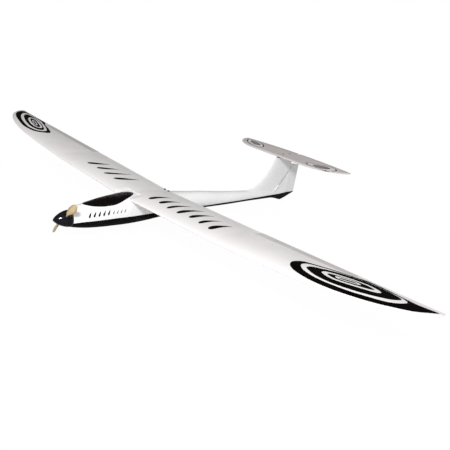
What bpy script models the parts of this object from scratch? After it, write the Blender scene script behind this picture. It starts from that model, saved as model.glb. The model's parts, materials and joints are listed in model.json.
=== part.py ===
"""A two metre radio controlled electric sailplane: moulded pod and boom fuselage with a T tail,
four panel polyhedral wing with ailerons, folding propeller, and the gear that it holds inside.

Axes: nose towards -Y, left (port) wing towards +X, up is +Z. Metres. All sizes below are written
in a working frame whose zero is the middle of the wing's trailing edge; the last lines move the
whole aircraft so that the flat of its belly lies at the origin.
"""

import math

import bmesh
import bpy
from mathutils import Matrix, Vector

for old in list(bpy.data.objects):
    bpy.data.objects.remove(old, do_unlink=True)

# ---------------------------------------------------------------- driving dimensions
GAP = 0.0003                     # clearance between neighbouring pieces
REST = Vector((0.0, 0.165, 0.0932))   # working frame to final frame

HALF_SPAN = 1.0
BREAK_X = 0.420                  # polyhedral break
DIHEDRAL_IN = 0.0315             # rise per metre of span, inner panels
DIHEDRAL_OUT = 0.0684            # and outer panels
ROOT_LE, ROOT_TE = -0.190, -0.008
LE_Z, TE_Z = -0.0060, -0.0020
TIP_Y = -0.0575                  # where leading and trailing edge meet
SWEEP_X = 0.55                   # leading edge is straight as far as this
TE_BEND_X = 0.45
WING_T = 0.098                   # thickness over chord
WING_CAMBER = 0.022
WALL_WING = 0.0012

AIL_X0, AIL_X1 = 0.435, 0.775
AIL_CHORD = 0.20                 # share of the chord behind the hinge

THRUST_Z = -0.0575
SPIN_TIP, SPIN_BACK = -0.4230, -0.3719
SPIN_R = 0.0255
PROP_ANGLE = math.radians(45.0)  # where the propeller stands at rest, from port towards up
PIN_R, PIN_Y = 0.0170, -0.3860
BLADE_LEN = 0.0610               # from the fold pin

NOSE_Y = -0.3682
BOOM_END = 0.6110
FIN_END = 0.6125
FIN_TOP = 0.0940
WALL = 0.0015
BELLY_FLAT = -0.0932

RUD_HINGE = 0.6165
RUD_NOSE = 0.0033
RUD_TE = 0.6770
RUD_BOTTOM = -0.0575

STAB_Z = 0.1026
STAB_HALF = 0.275
STAB_T = 0.0075
ELEV_HINGE = 0.6340
ELEV_NOSE = 0.0030
ELEV_X = 0.2350

CANOPY_Y0, CANOPY_Y1, CANOPY_W = -0.3285, -0.1530, 0.0334
DECK_END = -0.1457               # fuselage deck ends, wing centre section begins
NOTCH_X = 0.0520

# ---------------------------------------------------------------- housekeeping
scene = bpy.context.scene
PARTS = bpy.data.collections.new("rc_sailplane")
TOOLS = bpy.data.collections.new("cutters")
scene.collection.children.link(PARTS)
scene.collection.children.link(TOOLS)
MATS = {}


def paint(name, rgb, rough, metal=0.0):
    if name not in MATS:
        m = bpy.data.materials.new(name)
        m.use_nodes = True
        b = m.node_tree.nodes["Principled BSDF"]
        b.inputs["Base Color"].default_value = (*rgb, 1.0)
        b.inputs["Roughness"].default_value = rough
        b.inputs["Metallic"].default_value = metal
        MATS[name] = m
    return MATS[name]


FILM = paint("white_film", (0.80, 0.79, 0.78), 0.28)
GEL = paint("white_gelcoat", (0.84, 0.84, 0.84), 0.15)
GREY = paint("grey_film", (0.55, 0.54, 0.54), 0.35)
BLACK = paint("black_gloss", (0.012, 0.012, 0.014), 0.12)
SMOKE = paint("smoked_canopy", (0.030, 0.018, 0.020), 0.10)
TAN = paint("tan_nylon", (0.55, 0.42, 0.25), 0.40)
ALU = paint("aluminium", (0.70, 0.71, 0.72), 0.30, 1.0)
STEEL = paint("steel_wire", (0.55, 0.55, 0.56), 0.25, 1.0)
BRASS = paint("brass", (0.70, 0.52, 0.22), 0.30, 1.0)
PLY = paint("birch_ply", (0.62, 0.45, 0.27), 0.60)
NYLON = paint("white_nylon", (0.78, 0.78, 0.75), 0.45)
DARK = paint("black_nylon", (0.03, 0.03, 0.03), 0.45)
WRAP = paint("blue_shrink_wrap", (0.05, 0.10, 0.35), 0.30)
SERVO = paint("servo_case", (0.05, 0.09, 0.22), 0.35)
CARBON = paint("carbon_tube", (0.02, 0.02, 0.022), 0.30)


def wrap(name, mesh, mat, smooth=True, tool=False, at=(0, 0, 0)):
    """An object from a mesh written in working coordinates, with its origin at `at`."""
    at = Vector(at)
    for v in mesh.vertices:
        v.co -= at
    obj = bpy.data.objects.new(name, mesh)
    obj.location = at
    (TOOLS if tool else PARTS).objects.link(obj)
    if tool:
        obj.hide_render = True
        obj.display_type = "WIRE"
    if mat:
        mesh.materials.append(mat)
    if smooth:
        for p in mesh.polygons:
            p.use_smooth = True
        mesh.set_sharp_from_angle(angle=math.radians(38))
    return obj


def mesh_of(name, bm):
    bmesh.ops.remove_doubles(bm, verts=bm.verts, dist=1e-7)
    bmesh.ops.recalc_face_normals(bm, faces=bm.faces)
    mesh = bpy.data.meshes.new(name)
    bm.to_mesh(mesh)
    bm.free()
    return mesh


def loft(name, rings, mat, tool=False, at=(0, 0, 0), smooth=True):
    """A closed body through rings that have the same number of points each."""
    bm = bmesh.new()
    rows = [[bm.verts.new(p) for p in ring] for ring in rings]
    n = len(rows[0])
    for a, b in zip(rows[:-1], rows[1:]):
        for i in range(n):
            j = (i + 1) % n
            bm.faces.new((a[i], a[j], b[j], b[i]))
    bm.faces.new(list(reversed(rows[0])))
    bm.faces.new(rows[-1])
    return wrap(name, mesh_of(name, bm), mat, smooth, tool, at)


def frame_of(direction):
    return Vector(direction).normalized().to_track_quat("Z", "Y").to_matrix().to_4x4()


def turned(name, profile, foot, axis, mat, n=24, tool=False, at=(0, 0, 0)):
    """A turned body: (radius, height) pairs along the axis, spun about it. The profile starts and ends on the axis, or closes on itself."""
    bm = bmesh.new()
    pts = [bm.verts.new((r, 0, h)) for r, h in profile]
    edges = [bm.edges.new(p) for p in zip(pts[:-1], pts[1:])]
    if profile[0][0] > 0:
        edges.append(bm.edges.new((pts[-1], pts[0])))
    bmesh.ops.spin(bm, geom=pts + edges, cent=(0, 0, 0), axis=(0, 0, 1), angle=2 * math.pi,
                   steps=n, use_merge=True, use_normal_flip=False, use_duplicate=False)
    bmesh.ops.remove_doubles(bm, verts=bm.verts, dist=1e-6)
    bm.transform(Matrix.Translation(Vector(foot)) @ frame_of(axis))
    return wrap(name, mesh_of(name, bm), mat, True, tool, at)


def rod(name, p0, p1, r, mat, n=16, tool=False, at=(0, 0, 0)):
    p0, p1 = Vector(p0), Vector(p1)
    bm = bmesh.new()
    bmesh.ops.create_cone(bm, cap_ends=True, segments=n, radius1=r, radius2=r, depth=(p1 - p0).length)
    bm.transform(Matrix.Translation((p0 + p1) / 2) @ frame_of(p1 - p0))
    return wrap(name, mesh_of(name, bm), mat, True, tool, at)


def block(name, lo, hi, mat, bevel=0.0, tool=False, at=(0, 0, 0), turn=None):
    lo, hi = Vector(lo), Vector(hi)
    bm = bmesh.new()
    bmesh.ops.create_cube(bm, size=1.0)
    size = hi - lo
    bm.transform(Matrix.Translation((lo + hi) / 2) @ (turn or Matrix.Identity(4)) @ Matrix.Diagonal((*size, 1)))
    if bevel:
        bmesh.ops.bevel(bm, geom=list(bm.edges), offset=bevel, segments=2, affect="EDGES", profile=0.5)
    return wrap(name, mesh_of(name, bm), mat, bool(bevel), tool, at)


def prism(name, outline, z0, z1, mat, tool=False, at=(0, 0, 0), axis="Z"):
    """An outline pushed along one axis: (x, y) outlines along Z, (y, z) outlines along X."""
    def put(p, h):
        return (p[0], p[1], h) if axis == "Z" else (h, p[0], p[1])
    return loft(name, [[put(p, z0) for p in outline], [put(p, z1) for p in outline]], mat, tool, at, smooth=False)


def pipe(name, path, r_out, r_in, mat, n=8, tool=False):
    """A tube along a polyline, open at both ends, or a solid round bar when the inner radius is zero."""
    path = [Vector(p) for p in path]
    bm = bmesh.new()
    rows = []
    up = Vector((1, 0, 0))
    for k, p in enumerate(path):
        a = (path[min(k + 1, len(path) - 1)] - path[max(k - 1, 0)]).normalized()
        e1 = (up - a * up.dot(a)).normalized()
        e2 = a.cross(e1)
        rows.append([[bm.verts.new(p + (e1 * math.cos(t) + e2 * math.sin(t)) * r)
                      for t in (2 * math.pi * i / n for i in range(n))] for r in (r_out, r_in) if r > 0])
    for a, b in zip(rows[:-1], rows[1:]):
        for i in range(n):
            j = (i + 1) % n
            bm.faces.new((a[0][i], a[0][j], b[0][j], b[0][i]))
            if r_in > 0:
                bm.faces.new((a[1][j], a[1][i], b[1][i], b[1][j]))
    for row in (rows[0], rows[-1]):
        if r_in <= 0:
            bm.faces.new(row[0])
            continue
        for i in range(n):
            j = (i + 1) % n
            bm.faces.new((row[0][i], row[1][i], row[1][j], row[0][j]))
    return wrap(name, mesh_of(name, bm), mat, True, tool)


def wire(name, points, r, mat, at=(0, 0, 0)):
    at = Vector(at)
    c = bpy.data.curves.new(name, "CURVE")
    c.dimensions = "3D"
    c.bevel_depth = r
    c.bevel_resolution = 1
    c.use_fill_caps = True
    s = c.splines.new("POLY")
    s.points.add(len(points) - 1)
    for q, p in zip(s.points, points):
        q.co = (*(Vector(p) - at), 1.0)
    c.materials.append(mat)
    obj = bpy.data.objects.new(name, c)
    obj.location = at
    PARTS.objects.link(obj)
    return obj


def boole(obj, other, op="DIFFERENCE"):
    m = obj.modifiers.new(f"{op.lower()}_{len(obj.modifiers)}", "BOOLEAN")
    m.solver = "EXACT"
    m.operation = op
    m.object = other
    return obj


def smooth_table(table, t):
    """Catmull-Rom through rows of (t, values...)."""
    k = 0
    while k < len(table) - 2 and t > table[k + 1][0]:
        k += 1
    r0, r1, r2, r3 = table[max(k - 1, 0)], table[k], table[k + 1], table[min(k + 2, len(table) - 1)]
    u = min(max((t - r1[0]) / (r2[0] - r1[0]), 0.0), 1.0)
    out = []
    for c in range(1, len(r1)):
        m1 = (r2[c] - r0[c]) / (r2[0] - r0[0]) * (r2[0] - r1[0])
        m2 = (r3[c] - r1[c]) / (r3[0] - r1[0]) * (r2[0] - r1[0])
        out.append((2 * u**3 - 3 * u**2 + 1) * r1[c] + (u**3 - 2 * u**2 + u) * m1
                   + (-2 * u**3 + 3 * u**2) * r2[c] + (u**3 - u**2) * m2)
    return out


# ---------------------------------------------------------------- fuselage
# station y, top z, bottom z, half width, squareness above, squareness below
HULL = [
    (-0.3682, -0.0313, -0.0840, 0.0262, 2.0, 2.0),
    (-0.3500, -0.0238, -0.0876, 0.0312, 2.1, 2.1),
    (-0.3200, -0.0159, -0.0914, 0.0366, 2.1, 2.2),
    (-0.2900, -0.0105, -0.0934, 0.0408, 2.2, 2.2),
    (-0.2600, -0.0055, -0.0941, 0.0440, 2.3, 2.3),
    (-0.2300, -0.0027, -0.0943, 0.0462, 2.35, 2.3),
    (-0.2000, -0.0013, -0.0942, 0.0478, 2.4, 2.4),
    (-0.1700, 0.0017, -0.0939, 0.0484, 2.8, 2.4),
    (-0.1400, 0.0050, -0.0930, 0.0480, 3.6, 2.4),
    (-0.1000, 0.0020, -0.0905, 0.0460, 3.4, 2.4),
    (-0.0500, -0.0020, -0.0868, 0.0420, 3.0, 2.3),
    (0.0000, -0.0055, -0.0830, 0.0378, 2.5, 2.2),
    (0.0500, -0.0092, -0.0797, 0.0345, 2.2, 2.1),
    (0.1000, -0.0130, -0.0778, 0.0322, 2.1, 2.0),
    (0.1500, -0.0162, -0.0769, 0.0304, 2.0, 2.0),
    (0.2000, -0.0210, -0.0768, 0.0280, 2.0, 2.0),
    (0.2500, -0.0255, -0.0768, 0.0256, 2.0, 2.0),
    (0.3000, -0.0288, -0.0762, 0.0236, 2.0, 2.0),
    (0.3500, -0.0317, -0.0751, 0.0216, 2.0, 2.0),
    (0.4000, -0.0347, -0.0743, 0.0198, 2.0, 2.0),
    (0.4500, -0.0378, -0.0740, 0.0180, 2.0, 2.0),
    (0.5000, -0.0408, -0.0739, 0.0160, 2.0, 2.0),
    (0.5500, -0.0438, -0.0739, 0.0132, 2.0, 2.0),
    (0.5850, -0.0458, -0.0738, 0.0098, 2.0, 2.0),
    (0.6110, -0.0470, -0.0735, 0.0060, 2.0, 2.0),
]


def hull_ring(y, n, skin=0.0):
    """Hull section at y, drawn in by `skin` (or out, when negative)."""
    top, bottom, half, up, low = smooth_table(HULL, y)
    mid = (top + bottom) / 2
    a, bu, bl = half - skin, top - mid - skin, mid - bottom - skin
    ring = []
    for i in range(n):
        t = 2 * math.pi * (i + 0.5) / n
        c, s = math.cos(t), math.sin(t)
        e, b = (up, bu) if s >= 0 else (low, bl)
        x = a * math.copysign(abs(c) ** (2 / e), c)
        z = mid + b * math.copysign(abs(s) ** (2 / e), s)
        # shoulder that carries the hull out to the wing's leading edge
        swell = 0.010 * math.exp(-(((y + 0.170) / 0.050) ** 2)) * math.exp(-(((z + 0.006) / 0.014) ** 2))
        x += math.copysign(swell * min(1.0, abs(x) / 0.02), x)
        z = max(z, BELLY_FLAT + skin)
        ring.append((x, y, z))
    return ring


def spread(table, per):
    ys = []
    for a, b in zip(table[:-1], table[1:]):
        ys += [a[0] + (b[0] - a[0]) * k / per for k in range(per)]
    return ys + [table[-1][0]]


outer_ys = sorted(spread([r for r in HULL if r[0] <= 0.051], 2) + [r[0] for r in HULL if r[0] > 0.051])
hull = loft("fuselage_shell", [hull_ring(y, 32) for y in outer_ys], GEL)
hull_in = loft("cut_hull_inside", [[(x, -0.3720, z) for x, _, z in hull_ring(NOSE_Y, 20, WALL)]]
               + [hull_ring(y, 20, WALL) for y in [r[0] for r in HULL][1:-2]], None, tool=True)

# fin: leading edge station at each height
FIN_LE = [(-0.052, 0.376), (-0.034, 0.388), (-0.028, 0.409), (-0.020, 0.4255), (-0.005, 0.450),
          (0.012, 0.4695), (0.030, 0.486), (0.055, 0.5025), (0.080, 0.5135), (0.0940, 0.5190)]


def fin_ring(z, skin=0.0, rear=FIN_END, n=12):
    le = smooth_table(FIN_LE, z)[0] + skin * 2.2
    fat = 0.0056 - 0.0014 * max(0.0, min(1.0, (z + 0.05) / 0.145)) - skin
    end = RUD_NOSE + 0.0001 - skin
    side = []
    for k in range(n + 1):
        s = (k / n) ** 1.7
        h = fat * math.sqrt(max(0.0, 1 - ((0.32 - s) / 0.32) ** 2)) if s < 0.32 else fat + (end - fat) * (s - 0.32) / 0.68
        side.append((h, le + (rear - le) * s))
    return [(x, y, z) for x, y in side] + [(-x, y, z) for x, y in reversed(side[1:])]


fin_zs = [r[0] for r in FIN_LE]
fin_levels = [z for a, b in zip(fin_zs[:-1], fin_zs[1:]) for z in (a, (a + b) / 2)] + [FIN_TOP]
fin = loft("tool_fin", [fin_ring(z) for z in fin_levels], None, tool=True)
fin_in = loft("cut_fin_inside", [fin_ring(z, 0.0013, FIN_END - 0.0018, 8) for z in
                                 (-0.050, -0.034, -0.024, -0.005, 0.015, 0.045, 0.075, 0.0940)]
              + [[(x, y, FIN_TOP + 0.004) for x, y, _ in fin_ring(FIN_TOP, 0.0013, FIN_END - 0.0018, 8)]], None, tool=True)


CANOPY_W_TABLE = [  # share of the hatch's length, half width
    (0.052, 0.0122), (0.10, 0.0178), (0.17, 0.0222), (0.25, 0.0266), (0.33, 0.0299), (0.42, 0.0323), (0.50, 0.0334), (0.58, 0.0334),
    (0.65, 0.0318), (0.72, 0.0292), (0.78, 0.0260), (0.84, 0.0222), (0.90, 0.0178), (0.95, 0.0132)]


def canopy_half_width(u):
    """Half width of the hatch; its ends are rounded like a parabola's nose."""
    first, last = CANOPY_W_TABLE[0], CANOPY_W_TABLE[-1]
    if u < first[0]:
        return first[1] * math.sqrt(max(u, 0.0) / first[0])
    if u > last[0]:
        return last[1] * math.sqrt(max(1 - u, 0.0) / (1 - last[0]))
    return smooth_table(CANOPY_W_TABLE, u)[0]


def canopy_outline(shrink):
    left = []
    steps = 22
    for k in range(steps + 1):
        u = 0.5 - 0.5 * math.cos(math.pi * k / steps)
        y = CANOPY_Y0 + (CANOPY_Y1 - CANOPY_Y0) * u
        w = canopy_half_width(u)
        left.append((w, y))
    mid_y = (CANOPY_Y0 + CANOPY_Y1) / 2
    pts = left + [(-x, y) for x, y in reversed(left[1:-1])]
    scale_y = 1 - shrink / (0.5 * (CANOPY_Y1 - CANOPY_Y0))
    scale_x = 1 - shrink / CANOPY_W
    return [(x * scale_x, mid_y + (y - mid_y) * scale_y) for x, y in pts]


canopy_hole = prism("cut_canopy_opening", canopy_outline(0.0), -0.043, 0.03, None, tool=True)
canopy_plug = prism("keep_canopy", canopy_outline(GAP * 1.4), -0.042, 0.03, None, tool=True)


# ---------------------------------------------------------------- wing surfaces
def wing_rise(x):
    x = abs(x)
    return DIHEDRAL_IN * min(x, BREAK_X) + DIHEDRAL_OUT * max(0.0, x - BREAK_X)


def wing_le(x):
    u = max(0.0, (abs(x) - SWEEP_X) / (HALF_SPAN - SWEEP_X))
    return TIP_Y + (ROOT_LE - TIP_Y) * max(0.0, 1 - u**2.6) ** 0.526


def wing_te(x):
    u = max(0.0, (abs(x) - TE_BEND_X) / (HALF_SPAN - TE_BEND_X))
    return ROOT_TE + (TIP_Y + 0.006 - ROOT_TE) * u


def ordinate(s):
    """Half thickness and camber at a share of the chord."""
    t = 5 * WING_T * (0.2969 * math.sqrt(s) - 0.1260 * s - 0.3516 * s**2 + 0.2843 * s**3 - 0.1015 * s**4)
    p = 0.38
    c = WING_CAMBER / p**2 * (2 * p * s - s * s) if s < p else WING_CAMBER / (1 - p) ** 2 * (1 - 2 * p + 2 * p * s - s * s)
    return t, c


def wing_point(x, s, side, out=0.0):
    le, te = wing_le(x), wing_te(x)
    c = te - le
    t, m = ordinate(s)
    small = c / (ROOT_TE - ROOT_LE)
    thick = max(t * c, 0.0006) + out
    z = wing_rise(x) + (LE_Z * (1 - s) + TE_Z * s) * small + m * c + side * thick
    return (x, le + c * s - (out if s < 1e-6 else 0.0), z)


def wing_ring(x, n=13, out=0.0, s0=0.0, s1=1.0):
    ss = [s0 + (s1 - s0) * (1 - math.cos(math.pi * k / (n - 1))) / 2 for k in range(n)]
    if s0 == 0.0:
        ss = [(k / (n - 1)) ** 1.6 * s1 for k in range(n)]
        upper = [wing_point(x, s, 1, out) for s in reversed(ss[1:])]
        nose = [(x, wing_le(x) - out, wing_point(x, 0.0, 0)[2])]
        lower = [wing_point(x, s, -1, out) for s in ss[1:]]
        return upper + nose + lower
    upper = [wing_point(x, s, 1, out) for s in reversed(ss)]
    return upper + [wing_point(x, s, -1, out) for s in ss]


def inner_ring(x, spread_s=(0.035, 0.735), n=7):
    return wing_ring(x, n, -WALL_WING, *spread_s)


def stub_ring(x, n=9):
    """Front part of the wing section, nose to the end of the fuselage deck."""
    s1 = (DECK_END - 0.0001 - wing_le(x)) / (wing_te(x) - wing_le(x))
    ss = [(k / (n - 1)) ** 1.6 * s1 for k in range(n)]
    return [wing_point(x, s, 1) for s in reversed(ss[1:])] + [(x, wing_le(x), wing_point(x, 0.0, 0)[2])] + [wing_point(x, s, -1) for s in ss[1:]]


def saddle_ring(x):
    s0 = (DECK_END - wing_le(x)) / (wing_te(x) - wing_le(x))
    low = [wing_point(x, s0 + (1 - s0) * k / 9, -1, GAP) for k in range(10)]
    low[-1] = (x, low[-1][1] + GAP * 1.5, low[-1][2])
    return low + [(x, low[-1][1], 0.03), (x, DECK_END, 0.03)]


saddle_mid = loft("cut_saddle_middle", [saddle_ring(x) for x in (-0.075, 0.0, 0.075)], None, tool=True)
saddle_port = loft("cut_saddle_port", [wing_ring(x, 13, GAP) for x in (NOTCH_X, 0.10)], None, tool=True)
saddle_starboard = loft("cut_saddle_starboard", [wing_ring(x, 13, GAP) for x in (-0.10, -NOTCH_X)], None, tool=True)

for tag, sgn in (("port", 1), ("starboard", -1)):
    rings = []
    for x, sink in ((0.0270, 0.0046), (0.0350, 0.0022), (0.0430, 0.0008), (NOTCH_X - GAP, 0.0)):
        rings.append([(sgn * px, min(py, DECK_END - 0.0001), pz - sink) for px, py, pz in stub_ring(x)])
    boole(hull, loft(f"tool_root_stub_{tag}", rings if sgn > 0 else rings[::-1], None, tool=True), "UNION")
boole(hull, fin, "UNION")
boole(hull, hull_in)
boole(hull, fin_in)
boole(hull, canopy_hole)
boole(hull, saddle_mid)
boole(hull, saddle_port)
boole(hull, saddle_starboard)

# canopy hatch: the same hull skin, inside the hatch outline
canopy = loft("canopy", [hull_ring(y, 32) for y in outer_ys if -0.36 < y < -0.12], SMOKE)
canopy_in = loft("cut_canopy_inside", [hull_ring(y, 32, WALL) for y in [-0.37] + [r[0] for r in HULL if -0.365 < r[0] < -0.09]], None, tool=True)
boole(canopy, canopy_in)
boole(canopy, canopy_plug, "INTERSECT")

# tail skid keel, black, under the end of the boom
keel_side = [(0.520, -0.0730), (0.545, -0.0762), (0.566, -0.0800), (0.582, -0.0850), (0.594, -0.0876), (0.604, -0.0868),
             (0.626, -0.0800), (0.652, -0.0700), (0.6770, -0.0606), (0.6770, -0.0588), (0.6120, -0.0588), (0.6120, -0.0600), (0.560, -0.0640), (0.520, -0.0710)]
keel = prism("tail_skid", keel_side, -0.0045, 0.0045, BLACK, axis="X")
keel_relief = loft("cut_keel_relief", [hull_ring(y, 32, -GAP) for y in outer_ys if y > 0.47], None, tool=True)
boole(keel, keel_relief)
boole(keel, rod("cut_keel_pin", (0, RUD_HINGE, -0.0625), (0, RUD_HINGE, -0.050), 0.0014, None, 12, tool=True))

# ---------------------------------------------------------------- propeller unit and motor
U = Vector((math.cos(PROP_ANGLE), 0, math.sin(PROP_ANGLE)))      # along blade A
W = Vector((-math.sin(PROP_ANGLE), 0, math.cos(PROP_ANGLE)))     # fold pin direction
AX = Vector((0, 0, THRUST_Z))
BACK = (0, 1, 0)


def spinner_r(d):
    """Radius at a distance behind the tip."""
    length = SPIN_BACK - SPIN_TIP
    u = min(max(d / length, 0.0), 1.0)
    return SPIN_R * (1 - (1 - u) ** 1.9) ** 0.75


def ring_frame(x, y, z):
    """Point in the propeller's own axes: x along blade A, y along the thrust axis, z along the pin."""
    return AX + U * x + Vector((0, y, 0)) + W * z


def prop_box(name, lo, hi, tool=True, mat=None):
    bm = bmesh.new()
    bmesh.ops.create_cube(bm, size=1.0)
    for v in bm.verts:
        f = [lo[i] if v.co[i] < 0 else hi[i] for i in range(3)]
        v.co = ring_frame(*f)
    return wrap(name, mesh_of(name, bm), mat, False, tool)


steps = [0.0, 0.0008, 0.003, 0.007, 0.013, 0.021, 0.031, 0.042, SPIN_BACK - SPIN_TIP]
spin_profile = [(0.0 if d == 0 else spinner_r(d), d) for d in steps]
inside = [(spinner_r(d) - 0.0013, d + 0.0004) for d in reversed(steps[2:-1])]
spin_profile += [(SPIN_R - 0.0013, steps[-1])] + inside + [(0.0, 0.0042)]
spinner = turned("spinner", spin_profile, (0, SPIN_TIP, THRUST_Z), BACK, BLACK, n=28)
slot = prop_box("cut_spinner_slots", (-0.040, -0.3925, -0.0066), (0.040, -0.3650, 0.0066))
boole(spinner, slot)
plate = turned("spinner_backplate", [(0.0021, 0.0), (0.0021, 0.0024), (0.0254, 0.0024), (0.0254, 0.0)],
               (0, SPIN_BACK + GAP, THRUST_Z), BACK, ALU, n=28)
for sgn in (1, -1):
    boole(plate, prop_box(f"cut_plate_notch_{sgn}", (min(sgn * 0.0190, sgn * 0.04), -0.380, -0.0068), (max(sgn * 0.0190, sgn * 0.04), -0.360, 0.0068)))

yoke = turned("propeller_yoke", [(0.0, 0.0), (0.0060, 0.0), (0.0060, -0.0205), (0.0, -0.0205)], (0, SPIN_BACK, THRUST_Z), BACK, ALU, n=18)
for k, (x0, x1) in enumerate(((0.001, 0.0208), (-0.0208, -0.001))):
    for m, (z0, z1) in enumerate(((0.0023, 0.0041), (-0.0041, -0.0023))):
        boole(yoke, prop_box(f"tool_yoke_arm_{k}{m}", (x0, -0.3896, z0), (x1, -0.3824, z1)), "UNION")
boole(yoke, rod("cut_yoke_bore", (0, -0.400, THRUST_Z), (0, -0.360, THRUST_Z), 0.0020, None, 16, tool=True))

BLADE = [  # distance from the pin, chord, thickness, angle of the chord from the disc plane
    (-0.0036, 0.0050, 0.0026, 90), (-0.0020, 0.0068, 0.0038, 90), (0.0020, 0.0070, 0.0038, 90), (0.0065, 0.0072, 0.0036, 84), (0.0120, 0.0100, 0.0032, 66),
    (0.0200, 0.0145, 0.0028, 47), (0.0300, 0.0168, 0.0024, 36), (0.0410, 0.0165, 0.0020, 29),
    (0.0510, 0.0138, 0.0016, 24), (0.0572, 0.0100, 0.0013, 22), (0.0600, 0.0064, 0.0010, 21), (BLADE_LEN, 0.0026, 0.0008, 20)]
blades = []
for tag, sgn in (("a", 1), ("b", -1)):
    pivot = ring_frame(sgn * PIN_R, PIN_Y, 0)
    span, tang = U * sgn, W * sgn
    rings = []
    for d, c, t, ang in BLADE:
        a = math.radians(ang)
        chord = tang * math.cos(a) - Vector((0, 1, 0)) * math.sin(a)
        thick = tang * math.sin(a) + Vector((0, 1, 0)) * math.cos(a)
        ring = []
        for i in range(12):
            q = 2 * math.pi * i / 12
            ring.append(pivot + span * d + chord * (c / 2 * math.cos(q)) + thick * (t / 2 * math.sin(q)))
        rings.append(ring)
    blade = loft(f"propeller_blade_{tag}", rings, TAN, at=pivot)
    hole = rod(f"cut_pin_{tag}", pivot - tang * 0.008, pivot + tang * 0.008, 0.0013, None, 12, tool=True)
    boole(blade, hole)
    boole(yoke, hole)
    turned(f"fold_pin_{tag}", [(0.0, 0.0), (0.0010, 0.0), (0.0010, 0.0090), (0.0019, 0.0090), (0.0019, 0.0099), (0.0, 0.0099)],
           pivot - tang * 0.0045, tang, STEEL, n=12)
    blades.append(blade)

rod("motor_shaft", (0, -0.3935, THRUST_Z), (0, -0.3300, THRUST_Z), 0.0016, STEEL, 16)
turned("motor", [(0.0, 0.0375), (0.0019, 0.0375), (0.0019, 0.0), (0.0050, 0.0), (0.0050, 0.0026), (0.0125, 0.0026), (0.0138, 0.0040), (0.0138, 0.0385),
                 (0.0125, 0.0400), (0.0045, 0.0400), (0.0045, 0.0425), (0.0, 0.0425)], (0, -0.3668, THRUST_Z), BACK, STEEL, n=20)
firewall = turned("firewall", [(0.0053, 0.0), (0.0053, 0.0026), (0.0243, 0.0026), (0.0243, 0.0)], (0, -0.3671, THRUST_Z), BACK, PLY, n=20)
for k, x in enumerate((-0.0085, 0.0085)):
    boole(firewall, rod(f"cut_firewall_screw_{k}", (x, -0.375, THRUST_Z), (x, -0.360, THRUST_Z), 0.0017, None, 12, tool=True))

# ---------------------------------------------------------------- gear inside the pod
block("battery_tray", (-0.0200, -0.3130, -0.0790), (0.0200, -0.2150, -0.0775), PLY)
block("battery_pack", (-0.0170, -0.3080, -0.0772), (0.0170, -0.2380, -0.0520), WRAP, bevel=0.002)
block("speed_controller", (-0.0130, -0.2340, -0.0772), (0.0130, -0.1960, -0.0690), DARK, bevel=0.001)
former = prism("wing_former", [(0.0400 * math.cos(t), -0.0460 + 0.0400 * math.sin(t)) for t in (2 * math.pi * (k + 0.5) / 24 for k in range(24))],
               0, 1, PLY)
former.data.transform(Matrix(((1, 0, 0, 0), (0, 0, 0.003, -0.1500), (0, 1, 0, 0), (0, 0, 0, 1))))
former_hole = block("cut_former_hole", (-0.024, -0.16, -0.075), (0.024, -0.14, -0.030), None, tool=True)
boole(former, former_hole)
tray = block("servo_tray", (-0.0320, -0.1400, -0.0560), (0.0320, -0.0700, -0.0540), PLY)
block("receiver", (-0.0120, -0.0560, -0.0720), (0.0120, -0.0200, -0.0600), WRAP, bevel=0.001)
bolt_plate = block("wing_bolt_plate", (-0.0240, -0.0260, -0.0200), (0.0240, 0.0000, -0.0150), PLY)


def servo(name, lo, hi, boss, mat=SERVO):
    case = block(name, lo, hi, mat, bevel=0.0006)
    boole(case, boss, "UNION")
    return case


PUSH = {"elevator": 0.0130, "rudder": -0.0130}
for tag, x in PUSH.items():
    sx = math.copysign(1.0, x)
    pivot = Vector((x + sx * 0.0060, -0.1000, -0.0400))
    boss = rod(f"tool_{tag}_servo_boss", (pivot.x, pivot.y, -0.0460), (pivot.x, pivot.y, -0.0422), 0.0040, None, 16, tool=True)
    lo = (min(x - sx * 0.0000, x + sx * 0.0120), -0.1240, -0.0640)
    hi = (max(x - sx * 0.0000, x + sx * 0.0120), -0.0920, -0.0440)
    servo(f"{tag}_servo", lo, hi, boss)
    boole(tray, block(f"cut_tray_{tag}", (lo[0] - GAP, lo[1] - GAP, -0.07), (hi[0] + GAP, hi[1] + GAP, -0.05), None, tool=True))
    arm = block(f"{tag}_servo_arm", (min(pivot.x + sx * 0.0030, x - sx * 0.0065), pivot.y - 0.0025, -0.0418), (max(pivot.x + sx * 0.0030, x - sx * 0.0065), pivot.y + 0.0025, -0.0402), NYLON, bevel=0.0004, at=pivot)

# rudder pushrod: one straight wire that leaves the boom by the slot on the starboard side
RUD_HORN_Z = -0.0490
rud_a = Vector((-0.0075, -0.1000, -0.0392))
rud_b = Vector((-0.0172, 0.6195, RUD_HORN_Z + 0.0014))
wire("rudder_pushrod", [rud_a, rud_b], 0.0008, STEEL, at=rud_b)
boole(hull, rod("cut_rudder_wire_slot", rud_a.lerp(rud_b, 0.60), rud_a.lerp(rud_b, 0.995), 0.0018, None, 10, tool=True))
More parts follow.
